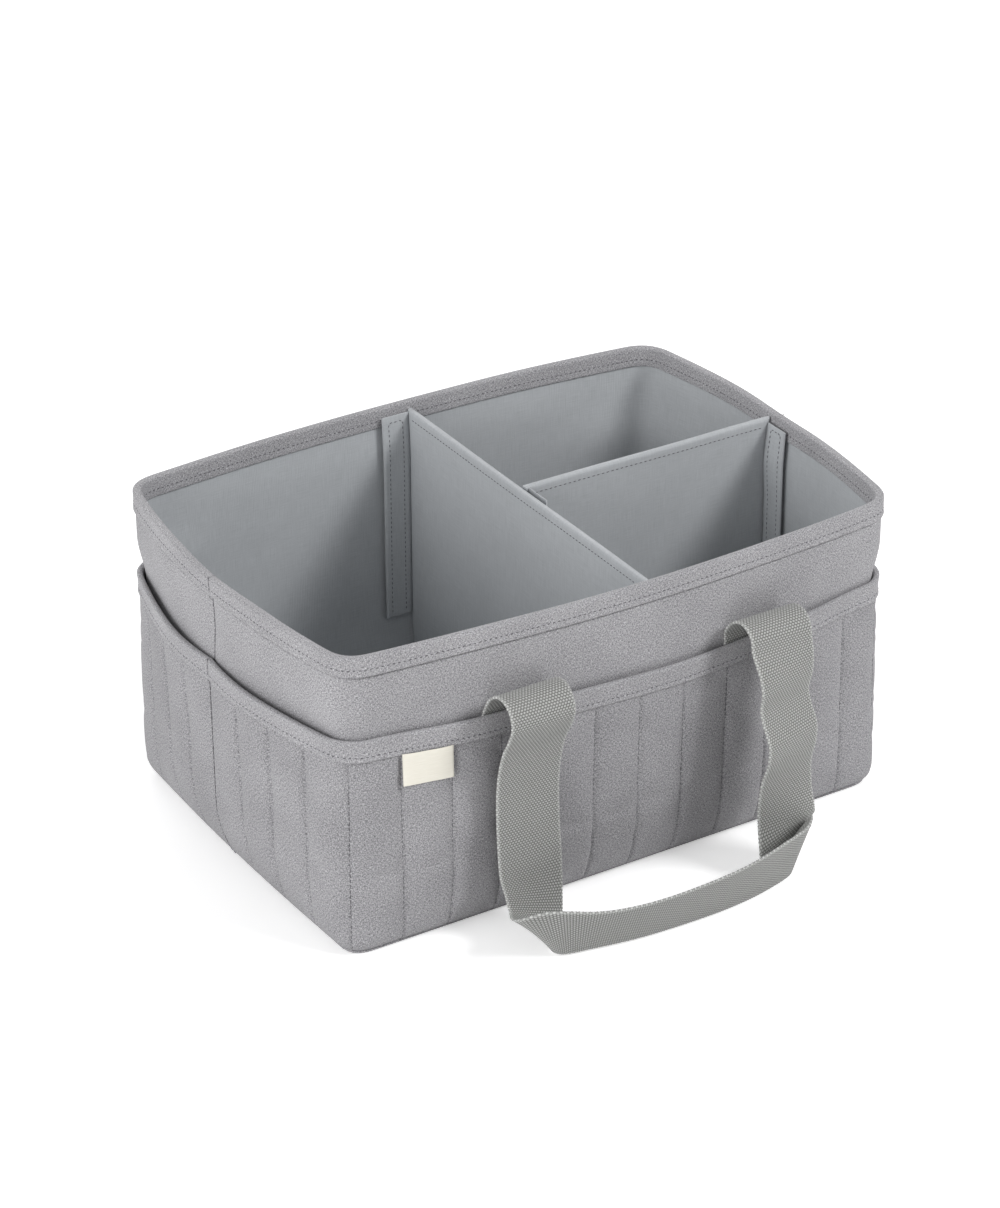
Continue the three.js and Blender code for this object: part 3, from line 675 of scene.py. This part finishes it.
for half, (skirt, shape, height) in skirts.items():
    face = points_of(skirt.data).reshape(*shape, 3)
    outwards = np.array([v.normal for v in skirt.data.vertices]).reshape(*shape, 3)
    face += thread_lift * outwards
    stops = skirt_girths[:, None]
    shown = (height > foot_centre - 0.004) & (height < hem_at(stops) - hem_binding)
    lines = [face[column][shown[column]] for column in line_columns[:-1]]
    # Real stitches, dark and end to end: painted shade for the creases along the channel lines.
    sew(f"quilting_stitches_crease_shade_{half}", lines, "caddy", crease_shade_thread, quilting_length, quilting_width)

# Pocket hem. A strip of the same cloth is folded over the skirt's top edge and sewn down with a row
# of stitches near its lower edge.
fold = 0.0007
ease = 0.0003
lip_lift, lip_reach = 0.0003, 0.0016
pucker_size, ripple, slow_ripple = 0.00012, 0.0078, 0.013
sunk = 0.0001


def binding_section(inner_at, outer_at, top, inside_drop, outside_drop, steps=9):
    """A strip folded over an edge: two legs, with a rounded fold at the top."""
    round_inner, round_outer = inner_at(top) - ease - fold, outer_at(top) + ease + fold
    middle, reach = (round_inner + round_outer) / 2, (round_outer - round_inner) / 2
    shoulder = top - 1.6 * fold
    bend = np.linspace(0, np.pi, 11)[1:-1]
    low_out, low_in = top - outside_drop, top - inside_drop
    out_up = np.linspace(low_out + fold / 2, shoulder, steps)
    in_down = np.linspace(shoulder, low_in + fold / 2, steps)
    lift = [lip_lift * np.exp(-(((h - low_out) / lip_reach) ** 2)) for h in out_up]
    outer = [(outer_at(h) + ease + fold + up, h) for h, up in zip(out_up, lift)]
    over = [(middle + reach * np.cos(b), shoulder + (top - shoulder) * np.sin(b)) for b in bend]
    inner = [(inner_at(h) - ease - fold, h) for h in in_down]
    inner_end = [(inner_at(low_in) - ease - 0.8 * fold, low_in), (inner_at(low_in) - ease, low_in)]
    back_up = [(inner_at(h) - ease, h) for h in np.linspace(low_in + fold, top - fold, 6)]
    back_down = [(outer_at(h) + ease, h) for h in np.linspace(top - fold, low_out + fold, 6)]
    end = outer_at(low_out) + ease + lip_lift
    outer_end = [(end, low_out), (end + 0.8 * fold, low_out)]
    return np.array(outer + over + inner + inner_end + back_up + back_down + outer_end)


def pucker(girth):
    """The small ripple that a row of stitches draws into a strip."""
    along = girth * half_girth * 2 * np.pi
    return pucker_size * (0.6 * np.sin(along / ripple) + 0.4 * np.sin(along / slow_ripple + 1))


stitch_row_drop = 0.0092
for half, turn in halves.items():
    girths = girth_steps(-1 + seam_gap, 1 - seam_gap, 0.002)
    sections = np.array([
        binding_section(
            lambda h: skirt_inner(g, h),
            lambda h: skirt_inner(g, h) + skirt_thickness,
            hem_at(g), hem_binding, hem_binding,
        )
        for g in girths
    ])
    legs = np.clip((hem_at(girths)[:, None] - sections[..., 1]) / hem_binding, 0, 1)
    sections[..., 0] += pucker(girths)[:, None] * legs
    hem = wall_sheet(f"pocket_hem_{half}", girths + turn, sections)
    dress(hem, melange, "caddy", f"pocket_binding_{half}")
    level = hem_at(girths) - stitch_row_drop
    outward = skirt_inner(girths, level) + skirt_thickness + ease + fold - sunk
    row = on_wall(girths + turn, level, outward)
    stitches = sew(f"hem_stitches_{half}", [row], "caddy")

# Label. A short length of smooth cream tape lies over one channel under the front hem, caught in the
# hem's stitching. It is left bare.
label_width, label_height, label_thickness = 0.027, 0.0185, 0.0005
corner_lift, edge_bow = 0.0004, 0.0006
label_middle = -mitre * (1 - 3 / front_channels)
label_top = hem_height - hem_binding + 0.0006
ribs = (120, 3200)
cream = fibre_finish("cream_tape", 0.8, 0.1, ribs, (233, 229, 216), (241, 237, 226), (0.15, 0.0003))
reach = label_width / 2 / half_girth
girths = np.linspace(label_middle - reach, label_middle + reach, 25)
across = np.linspace(-1, 1, 25)
label_back = skirt_thickness + channel_puff + ease
sections = []
for girth, place in zip(girths, across):
    outline = upright_section(0, label_thickness, label_top - label_height, label_top, 0.0015)
    lift = corner_lift * np.clip((label_top - outline[:, 1]) / label_height, 0, 1) ** 2 * place**2
    outline[:, 0] += skirt_inner(girth, outline[:, 1]) + label_back + lift - edge_bow * place**4
    sections.append(outline)
label = wall_sheet("bare_label", girths, np.array(sections))
dress(label, cream, "caddy", "label")

# Handles. Each is one length of grey webbing. Its ends are stitched to the shell inside the pocket,
# it rolls forward over the hem, hangs down, folds over at the lower corners and lies on the floor.
strap_width, strap_thickness = 0.038, 0.0014
mouth_outward = 0.0009
mouth_level = hem_height - 0.001
anchor_low = mouth_level - 0.0403
mouth_y = -0.1255


def station(x, ahead, z, across):
    """A place of the strap, so many millimetres ahead of the pocket's mouth: a point of its inner edge
    and the way across to it from the outer edge."""
    return (x, mouth_y - ahead / 1000, z), across


def leg_start(side, turn):
    """Inside the pocket, flat on the shell."""
    level = np.linspace(anchor_low, mouth_level, 5)
    lift = mouth_outward + np.array([0.1, 0.2, 0.1, 0.1, 0.3]) / 1000
    inner, outer = (
        wall_point(x / half_girth, level, laid(x / half_girth + turn, level, lift))
        for x in (side * strap_inside, side * (strap_inside + strap_width))
    )
    return list(zip(inner, inner - outer))


# The strap's stations. Each has how far it lies ahead of the pocket's mouth, in millimetres. Over the hem
# the height above it follows, in millimetres too. The legs give the height as a share of the hem's, and
# the right leg also a twist. On the floor a place from leg to leg, -1 to 1, comes first, and the height
# above the floor in millimetres and the way across the strap come last.
over_hem = [(1.2, 5), (5, 11), (12, 16), (20, 16), (25.5, 11), (27, 4)]
left_leg = [(23.5, 0.96), (18.5, 0.89), (14, 0.78), (12, 0.66), (12.5, 0.48), (14.5, 0.32)]
right_leg = [
    (37, 0.24, 0.04), (36.5, 0.35, 0.12), (39, 0.47, 0.2), (44, 0.57, 0.24), (44.5, 0.66, 0.24),
    (40, 0.72, 0.24), (36, 0.79, 0.24), (37, 0.88, 0.2), (34, 0.95, 0.12),
]
floor_run = [
    (-1, 15.5, 19, (38, 2, -9.5)), (-1.05, 19.5, 4, (37.5, 3.5, -17.5)), (-1.19, 26.5, 0.5, (32, 5, -22.5)),
    (-1.37, 37, -0.3, (22.5, 6.5, -29)), (-1.35, 43.5, -0.3, (12, 9, -34)),
    (-1.05, 48, -0.1, (5.5, 16.5, -33)), (-0.59, 52.5, 0, (4, 18, -32.5)), (0, 54.5, 0, (0, 17, -33)),
    (0.51, 54, 0, (-1.5, 15, -34)), (0.95, 50.5, 0, (-2.5, 12.5, -35)), (1.31, 44, 0, (-1.5, 12, -34)),
    (1.33, 39, 0, (-6, 10, -30)), (1.07, 38, 0.5, (-28, 0, -24)), (1.03, 39, 4, (-36, -4, -16)),
    (1, 39, 17, (-38, -4, -9)),
]


def roll_over(side, turn):
    return leg_start(side, turn) + [
        station(side * strap_inside, ahead, hem_height + above / 1000, (-side, 0, 0))
        for ahead, above in over_hem
    ]


def smooth_through(knots, values, at):
    """A smooth curve through the values at the knots."""
    slope = np.gradient(values, knots, axis=0)
    k = np.clip(np.searchsorted(knots, at, side="right") - 1, 0, len(knots) - 2)
    step = (knots[k + 1] - knots[k])[:, None]
    t = ((at - knots[k]) / (knots[k + 1] - knots[k]))[:, None]
    return (
        (2 * t**3 - 3 * t**2 + 1) * values[k]
        + (t**3 - 2 * t**2 + t) * step * slope[k]
        + (3 * t**2 - 2 * t**3) * values[k + 1]
        + (t**3 - t**2) * step * slope[k + 1]
    )


def strap_line(turn):
    """The strap from end to end: its inner edge and its way across at stops along it, how much webbing
    lies up to each fine stop, and how much lies up to where the rolls over the hem end."""
    stations = roll_over(-1, turn)
    roll_end = len(stations) - 1
    stations += [station(-strap_inside, ahead, share * hem_height, (1, 0, 0)) for ahead, share in left_leg]
    stations += [
        station(place * strap_inside, ahead, strap_thickness + above / 1000, across)
        for place, ahead, above, across in floor_run
    ]
    stations += [
        station(strap_inside, ahead, share * hem_height, (-1, -twist, 0))
        for ahead, share, twist in right_leg
    ]
    stations += roll_over(1, turn)[::-1]
    loop_end = len(stations) - 1 - roll_end
    edge = np.array([place for place, across in stations])
    across = np.array([direction for place, direction in stations], float)
    across /= np.linalg.norm(across, axis=1, keepdims=True)
    middles = edge - across * strap_width / 2
    knots = np.concatenate([[0], np.cumsum(np.sqrt(np.linalg.norm(np.diff(middles, axis=0), axis=1)))])
    fine = np.linspace(0, knots[-1], 6000)
    steps = np.linalg.norm(np.diff(smooth_through(knots, middles, fine), axis=0), axis=1)
    length = np.concatenate([[0], np.cumsum(steps)])
    cuts = np.interp([knots[roll_end], knots[loop_end]], fine, length)
    return knots, edge, across, fine, length, cuts


picot, tooth = 0.0016, 0.00022
webbing_row, webbing_thread = 0.001375, 0.0018
selvedge_from, selvedge_to = 0.0172, 0.0186


def webbing_piece(name, strap, start, end):
    """A stretch of the strap, with a toothed selvedge along both edges."""
    knots, edge, across, fine, length = strap[:5]
    along = np.linspace(start, end, max(3, round((end - start) / (picot / 4))) + 1)
    at = np.interp(along, length, fine)
    line = smooth_through(knots, edge, at)
    over = smooth_through(knots, across, at)
    over /= np.linalg.norm(over, axis=1, keepdims=True)
    middle = line - over * strap_width / 2
    ahead = np.gradient(middle, along, axis=0)
    normal = np.cross(ahead, over)
    normal /= np.linalg.norm(normal, axis=1, keepdims=True)
    width = strap_width / 2 + tooth * np.cos(along * 2 * np.pi / picot)
    bend = np.linspace(-np.pi / 2, np.pi / 2, 6)[1:-1]
    edge_round = strap_thickness / strap_width
    face = np.linspace(-1, 1, 15) * (1 - edge_round)
    rounded = 1 - edge_round + edge_round * np.cos(bend)
    place = np.concatenate([face, rounded, face[::-1], -rounded])
    rise = np.concatenate([-np.ones_like(face), np.sin(bend), np.ones_like(face), -np.sin(bend)])
    sideways = over[:, None] * (place * width[:, None])[..., None]
    points = middle[:, None] + sideways + normal[:, None] * (rise * strap_thickness / 2)[:, None]
    across_cloth = np.append(place, place[0]) * strap_width / 2
    return grid_mesh(name, points, along, across_cloth, ring=True, fill="rows")


def webbing_finish(name, dark, light):
    """Heavy plain-woven webbing: thick warp threads over and under a hidden weft, pale at the edges."""
    material, shader, cloth = new_finish(name, 0.7, 0.15)
    split = cloth.node("ShaderNodeSeparateXYZ", None, {0: cloth})
    cross = cloth.node("ShaderNodeSeparateXYZ", None, {0: cloth}, output=1)
    row = split * (1 / webbing_row)
    rib = row.sum("ABSOLUTE", row.sum("SINE", row * math.pi))
    shift = row.sum("FLOOR", row) * math.pi
    thread = cross * (2 * math.pi / webbing_thread) + shift
    over = thread.sum("COSINE", thread) * rib
    selvedge = cross.sum("ABSOLUTE", cross).spread(selvedge_from, selvedge_to)
    fuzz = fibres(cloth, 1800, 900)
    height = rib * 0.35 + over * 0.25 + fuzz * 0.3 + selvedge * 0.2
    shade = height.spread(0.1, 0.8)
    connect(shade.mix(linear(*dark), linear(*light)), shader, "Base Color")
    emboss(height, shader, 0.55, 0.0006)
    return material


webbing = webbing_finish("grey_webbing", (84, 84, 81), (206, 207, 205))
half_turn = np.array([-1.0, -1.0, 1.0])
for place, turned in (("front", False), ("back", True)):
    strap = strap_line(halves[place])
    length, cuts = strap[-2:]
    loop = webbing_piece(f"{place}_webbing_loop", strap, cuts[0], cuts[1])
    left = webbing_piece(f"{place}_webbing_left_end", strap, 0.0, cuts[0])
    right = webbing_piece(f"{place}_webbing_right_end", strap, cuts[1], length[-1])
    for piece in (loop, left, right):
        piece.data.materials.append(webbing)
        if turned:
            move_points(piece.data, points_of(piece.data) * half_turn)
    body = f"{place}_handle"
    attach(loop, body)
    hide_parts(f"{place}_handle_loop")
    for side, piece in (("left", left), ("right", right)):
        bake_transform(piece)
        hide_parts(f"{place}_handle_{side}_roll", f"{place}_handle_{side}_anchor")

# Rim binding. Two lengths of melange strip are folded over the top edge of shell, padding and lining,
# meet at the side seams, and are sewn through with a row of stitches outside and inside.
outside_row, inside_row = 0.0072, 0.0074
for half, turn in halves.items():
    girths = girth_steps(-1 + seam_gap, 1 - seam_gap, 0.002)
    section = binding_section(lambda h: lining_inner, lambda h: 0.0, rim_height, rim_inside, rim_outside)
    sections = np.repeat(section[None], len(girths), 0)
    legs = np.clip((rim_height - sections[..., 1]) / rim_outside, 0, 1)
    sections[..., 0] += pucker(girths + 0.3)[:, None] * legs
    rim = wall_sheet(f"rim_strip_{half}", girths + turn, sections)
    dress(rim, melange, "caddy", f"rim_binding_{half}")
    rows = [
        on_wall(girths + turn, rim_height - outside_row, ease + fold - sunk),
        on_wall(girths + turn, rim_height - inside_row, lining_inner - ease - fold + sunk),
    ]
    stitches = sew(f"rim_stitches_{half}", rows, "caddy")

# Side seams. The halves of the shell, the rim strip and the hem strip meet in the middle of each short
# side. An unbroken line of dark thread laid along each seam is painted shade for the seam's groove.
seam_start, seam_end, seam_rise = 0.03, 0.001, 0.0002
seam_shade_dash, seam_shade_width = 0.0034, 0.0005
for side, girth in (("left", -1.0), ("right", 1.0)):
    shell_levels = np.linspace(hem_height - seam_start, lip_level, 60)
    rim_levels = np.linspace(lip_level, rim_height - seam_end, 14)
    hem_levels = np.linspace(hem_height - hem_binding, hem_height - seam_end, 14)
    hem_outward = skirt_inner(girth, hem_levels) + skirt_thickness + ease + fold
    lines = [
        on_wall(girth, shell_levels, seam_rise - seam_depth),
        on_wall(girth, rim_levels, ease + fold),
        on_wall(girth, hem_levels, hem_outward),
    ]
    # Painted shade: a dark line of thread where the seam's groove lies in shade.
    sew(f"{side}_side_seam_painted_shade", lines, "caddy", grey_thread, seam_shade_dash, seam_shade_width)

# Wall tapes. A strip of loop tape is sewn to the lining on the front, back and right walls, where the
# dividers' flaps take hold.
tape_thickness, tape_width = 0.0010, 0.012
tape_low, tape_high = 0.0685, 0.1585
flap_width, flap_thickness = 0.017, 0.0008
cross_place, long_place = 0.011, 0.006
cover_thickness = 0.004
flap_near = cover_thickness / 2 + ease
flap_far = flap_near + flap_width
tape_outer = lining_inner - ease
hook_outer = tape_outer - tape_thickness - ease
flap_outer = hook_outer - tape_thickness - ease

fluff = (1500, 1500, 3.0)
loop_tape = fibre_finish("loop_tape", 0.95, 0.4, fluff, (112, 115, 119), (148, 151, 155), (0.8, 0.0006))
flap_spans = {
    "front": ((cross_place - flap_far) / half_girth, (cross_place - flap_near) / half_girth),
    "back": (2 - (cross_place - flap_near) / half_girth, 2 - (cross_place - flap_far) / half_girth),
    "right": (1 + (long_place - flap_far) / half_girth, 1 + (long_place - flap_near) / half_girth),
}


def patch_on_wall(name, low_girth, high_girth, outer, thickness, low, high):
    girths = girth_steps(low_girth, high_girth, 0.002)
    section = upright_section(outer - thickness, outer, low, high, 0.004)
    return wall_sheet(name, girths, section)


def tape_on_wall(name, span, outer):
    middle, reach = sum(span) / 2, tape_width / 2 / half_girth
    return patch_on_wall(name, middle - reach, middle + reach, outer, tape_thickness, tape_low, tape_high)


for wall, span in flap_spans.items():
    tape = tape_on_wall(f"{wall}_loop_strip", span, tape_outer)
    dress(tape, loop_tape, "caddy", f"{wall}_wall_loop_tape")

# Dividers. Each is a board in a sewn cover of the lining cloth. A flap at each end carries hook tape,
# which grips the loop tape on the wall or on the other divider.
divider_low, divider_top = 0.0078, 0.173
flap_low, flap_top = 0.045, 0.172
cover_hem, cover_sway, cover_cloth = 0.006, 0.0003, 0.24
divider_thread = 0.0005
hooks = (900, 900, 1.0)
hook_tape = fibre_finish("hook_tape", 0.6, 0.0, hooks, (96, 98, 102), (140, 143, 147), (0.8, 0.0005))


def cover(name, start_at, end_at, place):
    """A closed cover: two faces that bulge a little and run together round the edge."""
    edge = np.geomspace(0.0004, 0.006, 8)
    u = np.concatenate([[0], edge, np.linspace(0.012, 0.988, 60), 1 - edge[::-1], [1]])
    near_top = divider_top - np.geomspace(0.004, 0.0003, 7)
    rise = np.concatenate([[divider_low], np.linspace(0.0081, 0.168, 50), near_top, [divider_top]])
    start, end = start_at(rise), end_at(rise)
    span = start[None] + u[:, None] * (end - start)[None]
    from_end = np.minimum(span - start[None], end[None] - span)
    from_top = np.broadcast_to(divider_top - rise, span.shape)
    edge_radius = cover_thickness / 2
    inset = np.clip(np.minimum(from_end, from_top) / edge_radius, 0, 1)
    half = edge_radius * np.sqrt(np.clip(1 - (1 - inset) ** 2, 0, 1))
    sway = cover_sway * np.sin(np.pi * u) * np.sin(2.2 * np.pi * u + 0.5)
    bend = sway[:, None] * (rise / divider_top)[None] ** 2
    faces = [place(span, bend + sign * half, np.broadcast_to(rise, span.shape)) for sign in (-1, 1)]
    ring = np.concatenate([faces[0], faces[1][:, ::-1]], 1)
    along = np.concatenate([rise, 2 * divider_top - rise[::-1], [2 * divider_top]])
    piece = grid_mesh(name, ring, np.linspace(0, cover_cloth, len(u)), along, ring=True, fill="rows")
    inside = (span[:, -1] > start[-1] + cover_hem) & (span[:, -1] < end[-1] - cover_hem)
    k = int(np.argmin(np.abs(rise - divider_top + cover_hem)))
    level = np.full(len(u), rise[k])
    rows = [place(span[:, k], bend[:, k] + sign * (edge_radius + sunk), level)[inside] for sign in (-1, 1)]
    return piece, rows


def divider_end(girth, height):
    outward = laid(girth, height, hook_outer) - wall_wave(girth, height)
    return wall_point(girth, height, outward)


def across_box(span, offset, height):
    return np.stack([cross_place + offset, span, height], -1)


def along_box(span, offset, height):
    return np.stack([span, long_place + offset, height], -1)


cross_face = cross_place + cover_thickness / 2
covers = {
    "cross_divider": (
        lambda h: divider_end(cross_place / half_girth, h)[..., 1],
        lambda h: divider_end(2 - cross_place / half_girth, h)[..., 1],
        across_box,
    ),
    "long_divider": (
        lambda h: np.full_like(h, cross_face + 0.0006),
        lambda h: divider_end(1 + long_place / half_girth, h)[..., 0],
        along_box,
    ),
}
for divider, (start_at, end_at, place) in covers.items():
    sleeve, rows = cover(f"{divider}_sleeve", start_at, end_at, place)
    dress(sleeve, lining_cloth, divider, f"{divider}_cover")
    sew(f"{divider}_stitches", rows, divider, width=divider_thread)
    refinish(f"{divider}_board", board)

flap_hem = 0.004


def stitched_edge(left, right):
    """Places and heights of the stitches up one side of a flap, across its top and down the other."""
    rise = np.linspace(flap_low + flap_hem, flap_top - flap_hem, 40)
    over = np.linspace(left, right, 12)
    place = np.concatenate([np.full(40, left), over, np.full(40, right)])
    height = np.concatenate([rise, np.full(12, rise[-1]), rise[::-1]])
    return place, height


for wall, (low, high) in flap_spans.items():
    divider = "long_divider" if wall == "right" else "cross_divider"
    hook = tape_on_wall(f"{wall}_hook_strip", (low, high), hook_outer)
    flap = patch_on_wall(f"{wall}_flap", low, high, flap_outer, flap_thickness, flap_low, flap_top)
    dress(hook, hook_tape, divider, f"{divider}_{wall}_hook_tape")
    dress(flap, lining_cloth, divider, f"{divider}_{wall}_flap")
    inset = flap_hem / half_girth
    girth, level = stitched_edge(low + inset, high - inset)
    path = wall_point(girth, level, laid(girth, level, flap_outer - flap_thickness))
    stitches = sew(f"{wall}_flap_stitches", [path], divider, width=divider_thread)

junction_middle = long_place - flap_near - flap_width / 2


def junction_patch(name, depth, thickness, width, low, high):
    """A flat patch on the right face of the cross divider."""
    outline = upright_section(depth, depth + thickness, low, high, 0.004)
    ys = np.linspace(junction_middle - width / 2, junction_middle + width / 2, 16)
    points = np.stack(np.broadcast_arrays(outline[:, 0], ys[:, None], outline[:, 1]), -1)
    return grid_mesh(name, points, ys, path_lengths(outline), ring=True, fill="rows")


loop_depth = cross_face + ease
hook_depth = loop_depth + tape_thickness + ease
flap_depth = hook_depth + tape_thickness + ease
tape_sizes = (tape_thickness, tape_width, tape_low, tape_high)
flap_sizes = (flap_thickness, flap_width, flap_low, flap_top)
for name, divider, node, depth, sizes, finish, slot in (
    ("loop_strip", "cross_divider", "loop_tape", loop_depth, tape_sizes, loop_tape, "tape"),
    ("hook_strip", "long_divider", "hook_tape", hook_depth, tape_sizes, hook_tape, "tape"),
    ("flap", "long_divider", "inner_flap", flap_depth, flap_sizes, lining_cloth, "lining"),
):
    thickness, width, low, high = sizes
    piece = junction_patch(f"junction_{name}", depth, thickness, width, low, high)
    dress(piece, finish, divider, f"{divider}_{node}")
    high - low
reach = flap_width / 2 - flap_hem
place, level = stitched_edge(junction_middle - reach, junction_middle + reach)
path = np.stack([np.full_like(place, flap_depth + flap_thickness), place, level], -1)
sew("junction_flap_stitches", [path], "long_divider", width=divider_thread)

# Floor, light and camera. A white floor lies under soft studio light from three large lamps. The camera
# looks from the front left and from above, with the place and lens that were fitted to the photograph.
floor_mesh = bpy.data.meshes.new("floor")
floor_reach, floor_level = 1.9, -0.0002
corners = [(x * floor_reach, y * floor_reach, floor_level) for x, y in ((-1, -1), (1, -1), (1, 1), (-1, 1))]
floor_mesh.from_pydata(corners, [], [(0, 1, 2, 3)])
floor = new_object("floor", floor_mesh)
white = bpy.data.materials.new("white_floor")
white.use_nodes = True
view = Signal(white.node_tree.nodes.new("ShaderNodeLightPath").outputs["Is Camera Ray"])
paint = view.node("ShaderNodeBsdfDiffuse", None, {"Color": (0.92, 0.92, 0.92, 1)})
glow = view.node("ShaderNodeEmission", None, {"Color": view.mix((0, 0, 0, 1), (0.42, 0.42, 0.42, 1))})
lit = view.node("ShaderNodeAddShader", None, {0: paint, 1: glow})
connect(lit, white.node_tree.nodes["Material Output"], "Surface")
floor_mesh.materials.append(white)

world = bpy.data.worlds.new("studio")
bpy.context.scene.world = world
world.use_nodes = True
tree = world.node_tree
light_path = tree.nodes.new("ShaderNodeLightPath")
looked_at = Signal(light_path.outputs["Is Camera Ray"])
seen = looked_at.sum("MAXIMUM", looked_at, Signal(light_path.outputs["Is Glossy Ray"]))
background = tree.nodes["Background"]
background.inputs["Color"].default_value = (1, 1, 1, 1)
strength = seen * 0.6 + 0.4
tree.links.new(strength.socket, background.inputs["Strength"])

lit_point = (0, 0, 0.08)
for name, place, size, power in (
    ("key", (1.5, -2.0, 2.2), 0.9, 53),
    ("fill", (-2.8, -0.5, 1.1), 2.0, 52),
    ("back", (0.9, 2.8, 1.4), 2.0, 38),
):
    lamp = bpy.data.lights.new(name, "AREA")
    lamp.size, lamp.energy = size, power
    source = new_object(name, lamp)
    source.location = place
    aim = np.array(lit_point) - np.array(place)
    aim /= np.linalg.norm(aim)
    pitch, heading = math.acos(-aim[2]), math.atan2(aim[0], -aim[1])
    source.rotation_euler = (pitch, 0, heading + math.pi)

camera_place = (-0.9844, -1.5879, 1.1293)
azimuth, elevation, roll = (math.radians(a) for a in (-31.665, 28.682, 0.206))
right = np.array([math.cos(azimuth), math.sin(azimuth), 0])
backwards = np.array([
    math.sin(azimuth) * math.cos(elevation),
    -math.cos(azimuth) * math.cos(elevation),
    math.sin(elevation),
])
up = np.cross(backwards, right)
lens = bpy.data.cameras.new("camera")
lens.sensor_fit = "VERTICAL"
lens.sensor_height = 36
lens.lens = 116.674
camera = new_object("camera", lens)
stance = np.eye(4)
stance[:3, 0] = math.cos(roll) * right - math.sin(roll) * up
stance[:3, 1] = math.sin(roll) * right + math.cos(roll) * up
stance[:3, 2] = backwards
stance[:3, 3] = camera_place
camera.matrix_world = Matrix(stance.tolist())
bpy.context.scene.camera = camera
bpy.context.scene.view_settings.view_transform = "Standard"
